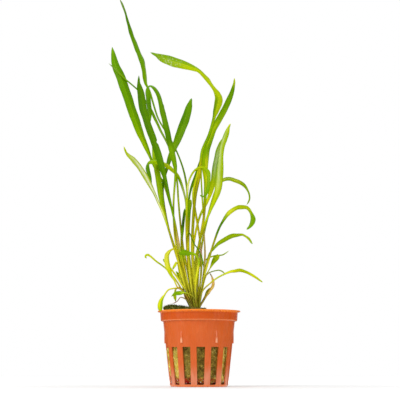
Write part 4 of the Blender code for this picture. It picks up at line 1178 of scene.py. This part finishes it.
def addFibres(curve, surface, seed):
    for slot in range(pot["slots"]):
        for _ in range(wool["fibresPerSlot"]):
            up = seed.uniform(pot["slotFoot"] + 0.3, pot["slotTop"] - 0.3)
            half = pitchDegrees / 2 - math.degrees(pot["ribWidth"] / 2 / bodyRadius(up))
            turn = slotTurn(slot) + seed.uniform(-half, half)
            inward = -polar(1.0, turn, 0.0)
            start = surface.ray_cast(polar(40.0, turn, up) * mm, inward)[0]
            if start is None:
                continue
            slope = seed.uniform(-1.1, 1.1)
            heading = (Vector((-inward.y, inward.x, 0)) * math.cos(slope)
                       + Vector((0, 0, math.sin(slope))))
            if seed.random() < 0.5:
                heading.negate()
            addStrand(curve, surface, start, heading, seed.uniform(*wool["fibreLength"]),
                      seed.uniform(*wool["fibreRadius"]), fibreShade(start, seed),
                      wool["fibreStand"] * seed.uniform(0.3, 1.6), seed)


def fromAbove(surface, x, y):
    return surface.ray_cast(Vector((x, y, 0.07)), Vector((0, 0, -1)))[:2]


def addMoss(curve, surface, seed):
    for _ in range(wool["mossStrands"]):
        # crowded towards the mound, thin elsewhere
        crowded = seed.random() < 0.6
        x, y = (seed.gauss(*crowd) if crowded else seed.uniform(*wool["mossThin"])
                for crowd in wool["mossCrowd"])
        place, normal = fromAbove(surface, x, y)
        if place is None or place.z < wool["mossFrom"]:
            continue
        shade = pickShade(wool["mossShades"], noise.noise(place * 500.0) + seed.uniform(-0.4, 0.4))
        if place.x > -5 * mm and noise.noise(place * 160.0) > 0.05 and seed.random() < 0.6:
            shade = seed.choice(("fibreDark", "fibreOlive", "fibreOlive", "fibreStraw"))
        addTuft(curve, place, normal, seed.uniform(*wool["mossLength"]),
                seed.uniform(*wool["mossRadius"]), shade, seed)


def addGrain(mesh, place, size, shade, seed):
    verts = bmesh.ops.create_icosphere(mesh, subdivisions=1, radius=size * mm)["verts"]
    stretch = [seed.uniform(0.6, 1.2) for _ in range(3)]
    for vert in verts:
        vert.co = Vector([value * share for value, share in zip(vert.co, stretch)])
        vert.co *= seed.uniform(0.8, 1.15)
        vert.co += place
    for face in {face for vert in verts for face in vert.link_faces}:
        face.material_index = shadeSlots[shade]


def addGrains(mesh, surface, seed):
    # whitish grit at the foot of the slots, mixed with dark red grains that are painted shade
    for _ in range(wool["grit"]):
        turn = seed.uniform(-180, 180)
        up = between(wool["gritFoot"], wool["gritTop"], seed.random() ** 1.6)
        inward = -polar(1.0, turn, 0.0)
        place = surface.ray_cast(-inward * 0.04 + Vector((0, 0, up)), inward)[0]
        if place is not None:
            pale = between(0.45, 0.8, rightwards(place))
            shade = "grit" if seed.random() < pale else "rust"
            addGrain(mesh, place - inward * 0.2 * mm, seed.uniform(*wool["gritSize"]), shade, seed)

    # dark crumbs round the crown and over the moss
    for index in range(wool["crumbs"]):
        x, y = (seed.uniform(*span) for span in wool["crumbPlaces"][index % 2])
        place = fromAbove(surface, x, y)[0]
        if place is not None:
            addGrain(mesh, place, seed.uniform(*wool["crumbSize"]), "crumb", seed)


def takeIn(mesh, data):
    mesh.from_mesh(data)
    bpy.data.meshes.remove(data)


def makeWool():
    mesh = mergedCopy("rock_wool_plug")
    bmesh.ops.subdivide_edges(mesh, edges=mesh.edges, cuts=wool["cuts"], use_grid_fill=True)
    smoothed(mesh, 2)
    shapeWool(mesh)
    roughen(mesh, *wool["lumps"], *wool["fuzz"])
    surface = BVHTree.FromBMesh(mesh)

    seed = random.Random("wool")
    curve = bpy.data.curves.new("strands", "CURVE")
    curve.dimensions, curve.bevel_depth, curve.bevel_resolution = "3D", mm, 0
    curve.use_fill_caps = True
    for _ in range(len(strandTones) + 1):
        curve.materials.append(None)
    addFibres(curve, surface, seed)
    addMoss(curve, surface, seed)
    holder = bpy.data.objects.new("strands", curve)
    takeIn(mesh, bpy.data.meshes.new_from_object(holder))
    bpy.data.objects.remove(holder)
    bpy.data.curves.remove(curve)

    grains = bmesh.new()
    addGrains(grains, surface, seed)
    loose = bpy.data.meshes.new("grains")
    grains.to_mesh(loose)
    grains.free()
    takeIn(mesh, loose)
    piece = addPiece("rockWool", mesh, makeWoolMaterial(), "rock_wool_plug")
    piece.data.shade_smooth()
    for name in strandTones:
        piece.data.materials.append(makeStrandMaterial(name))
    return piece


woolPiece = makeWool()
print("rock wool:", len(woolPiece.data.polygons), "faces")


# Crown

crown = {"cuts": 4, "lumps": (0.25, 600.0), "fuzz": (0.1, 2000.0)}


def makeCrown():
    material, shader, place = newMaterial("crownTissue", Roughness=0.6, Specular_IOR_Level=0.3)
    rough = noiseValue(place, 700.0, 5.0, 0.6)
    feed(shader, {"Base Color": addRamp(rough, "30 umber, 50 brown, 70 moss"),
                  "Normal": addBump(rough, 0.3 * mm, 0.8)})
    mesh = mergedCopy("crown")
    bmesh.ops.subdivide_edges(mesh, edges=mesh.edges, cuts=crown["cuts"], use_grid_fill=True)
    smoothed(mesh)
    roughen(mesh, *crown["lumps"], *crown["fuzz"])
    addPiece("leafCrown", mesh, material, "crown").data.shade_smooth()


makeCrown()
print("crown")


# Floor, lights and camera

studio = {
    "floorTone": (244, 244, 244), "floorSize": 4.0,
    # what the pot mirrors of the floor: bright close by, duller further out and at both sides
    "nearReach": (0.05, 0.066), "nearGlow": 0.9, "midGlow": 0.65,
    "sideReach": (0.075, 0.095), "sideGlow": 0.1, "farReach": (0.14, 0.17), "farGlow": 0.15,
    "fillReach": (0.06, 0.5), "fill": 0.6,        # keeps the far floor as white as the backdrop
    "surround": 0.5, "backdrop": 1.0,
    "boxes": {
        # place, aim, width and height, watts
        "keyBox": ((-0.55, -0.8, 0.9), (0, 0, 0.12), (0.5, 0.6), 6.0),
        "leftBox": ((-1.0, -0.45, 0.26), (0, 0, 0.1), (0.3, 0.55), 2.4),
        "rightBox": ((0.95, -0.65, 0.28), (0, 0, 0.1), (0.35, 0.6), 2.8),
        "topBox": ((0.1, 0.25, 1.1), (0, 0, 0.1), (0.8, 0.8), 4.5),
    },
    "cameraPlace": (0.00067, -0.850, 0.009), "cameraPitch": 97.74, "cameraLens": 114.6,
}


def makeFloor():
    mesh = bmesh.new()
    bmesh.ops.create_grid(mesh, x_segments=2, y_segments=2, size=studio["floorSize"] / 2)
    material, shader, place = newMaterial("paleFloor", Roughness=0.8, Specular_IOR_Level=0.1)
    distance, aside = lengthOf(place), calc("ABSOLUTE", splitAxes(place)[0])
    pool = (ease(distance, *studio["nearReach"], studio["nearGlow"], studio["midGlow"])
            * ease(distance, *studio["farReach"], 1.0, studio["farGlow"])
            * ease(aside, *studio["sideReach"], 1.0, studio["sideGlow"]))
    fill = ease(distance, *studio["fillReach"], 0.0, studio["fill"])
    ray = addNode(place.tree, "ShaderNodeLightPath", {})
    mirrored, seen = ray["Is Glossy Ray"], ray["Is Camera Ray"]
    feed(shader, {"Base Color": mixColour(mirrored, studio["floorTone"], (0, 0, 0)),
                  "Emission Color": (1, 1, 1, 1),
                  "Emission Strength": pool * mirrored + fill * seen})
    addMesh("floor", mesh, material)


def makeSurround():
    # a white backdrop that lights the plant less than it shows
    world = bpy.data.worlds.new("studio")
    world.use_nodes = True
    seen = addNode(world.node_tree, "ShaderNodeLightPath", {})["Is Camera Ray"]
    strength = ease(seen, 0.0, 1.0, studio["surround"], studio["backdrop"])
    feed(world.node_tree.nodes["Background"], {0: (1, 1, 1, 1), 1: strength})
    bpy.context.scene.world = world


def addBox(name, place, aim, size, power):
    light = bpy.data.lights.new(name, "AREA")
    light.shape, light.energy = "RECTANGLE", power
    light.size, light.size_y = size
    box = addObject(name, light)
    box.location = place
    box.rotation_euler = (Vector(aim) - Vector(place)).to_track_quat("-Z", "Y").to_euler()


def makeStudio():
    makeFloor()
    makeSurround()
    for name, box in studio["boxes"].items():
        addBox(name, *box)
    view = bpy.data.cameras.new("camera")
    view.lens, view.sensor_width = studio["cameraLens"], 36
    camera = addObject("camera", view)
    camera.location = studio["cameraPlace"]
    camera.rotation_euler = (math.radians(studio["cameraPitch"]), 0, 0)
    bpy.context.scene.camera = camera
    bpy.context.scene.view_settings.view_transform = "Standard"


makeStudio()
print("studio")
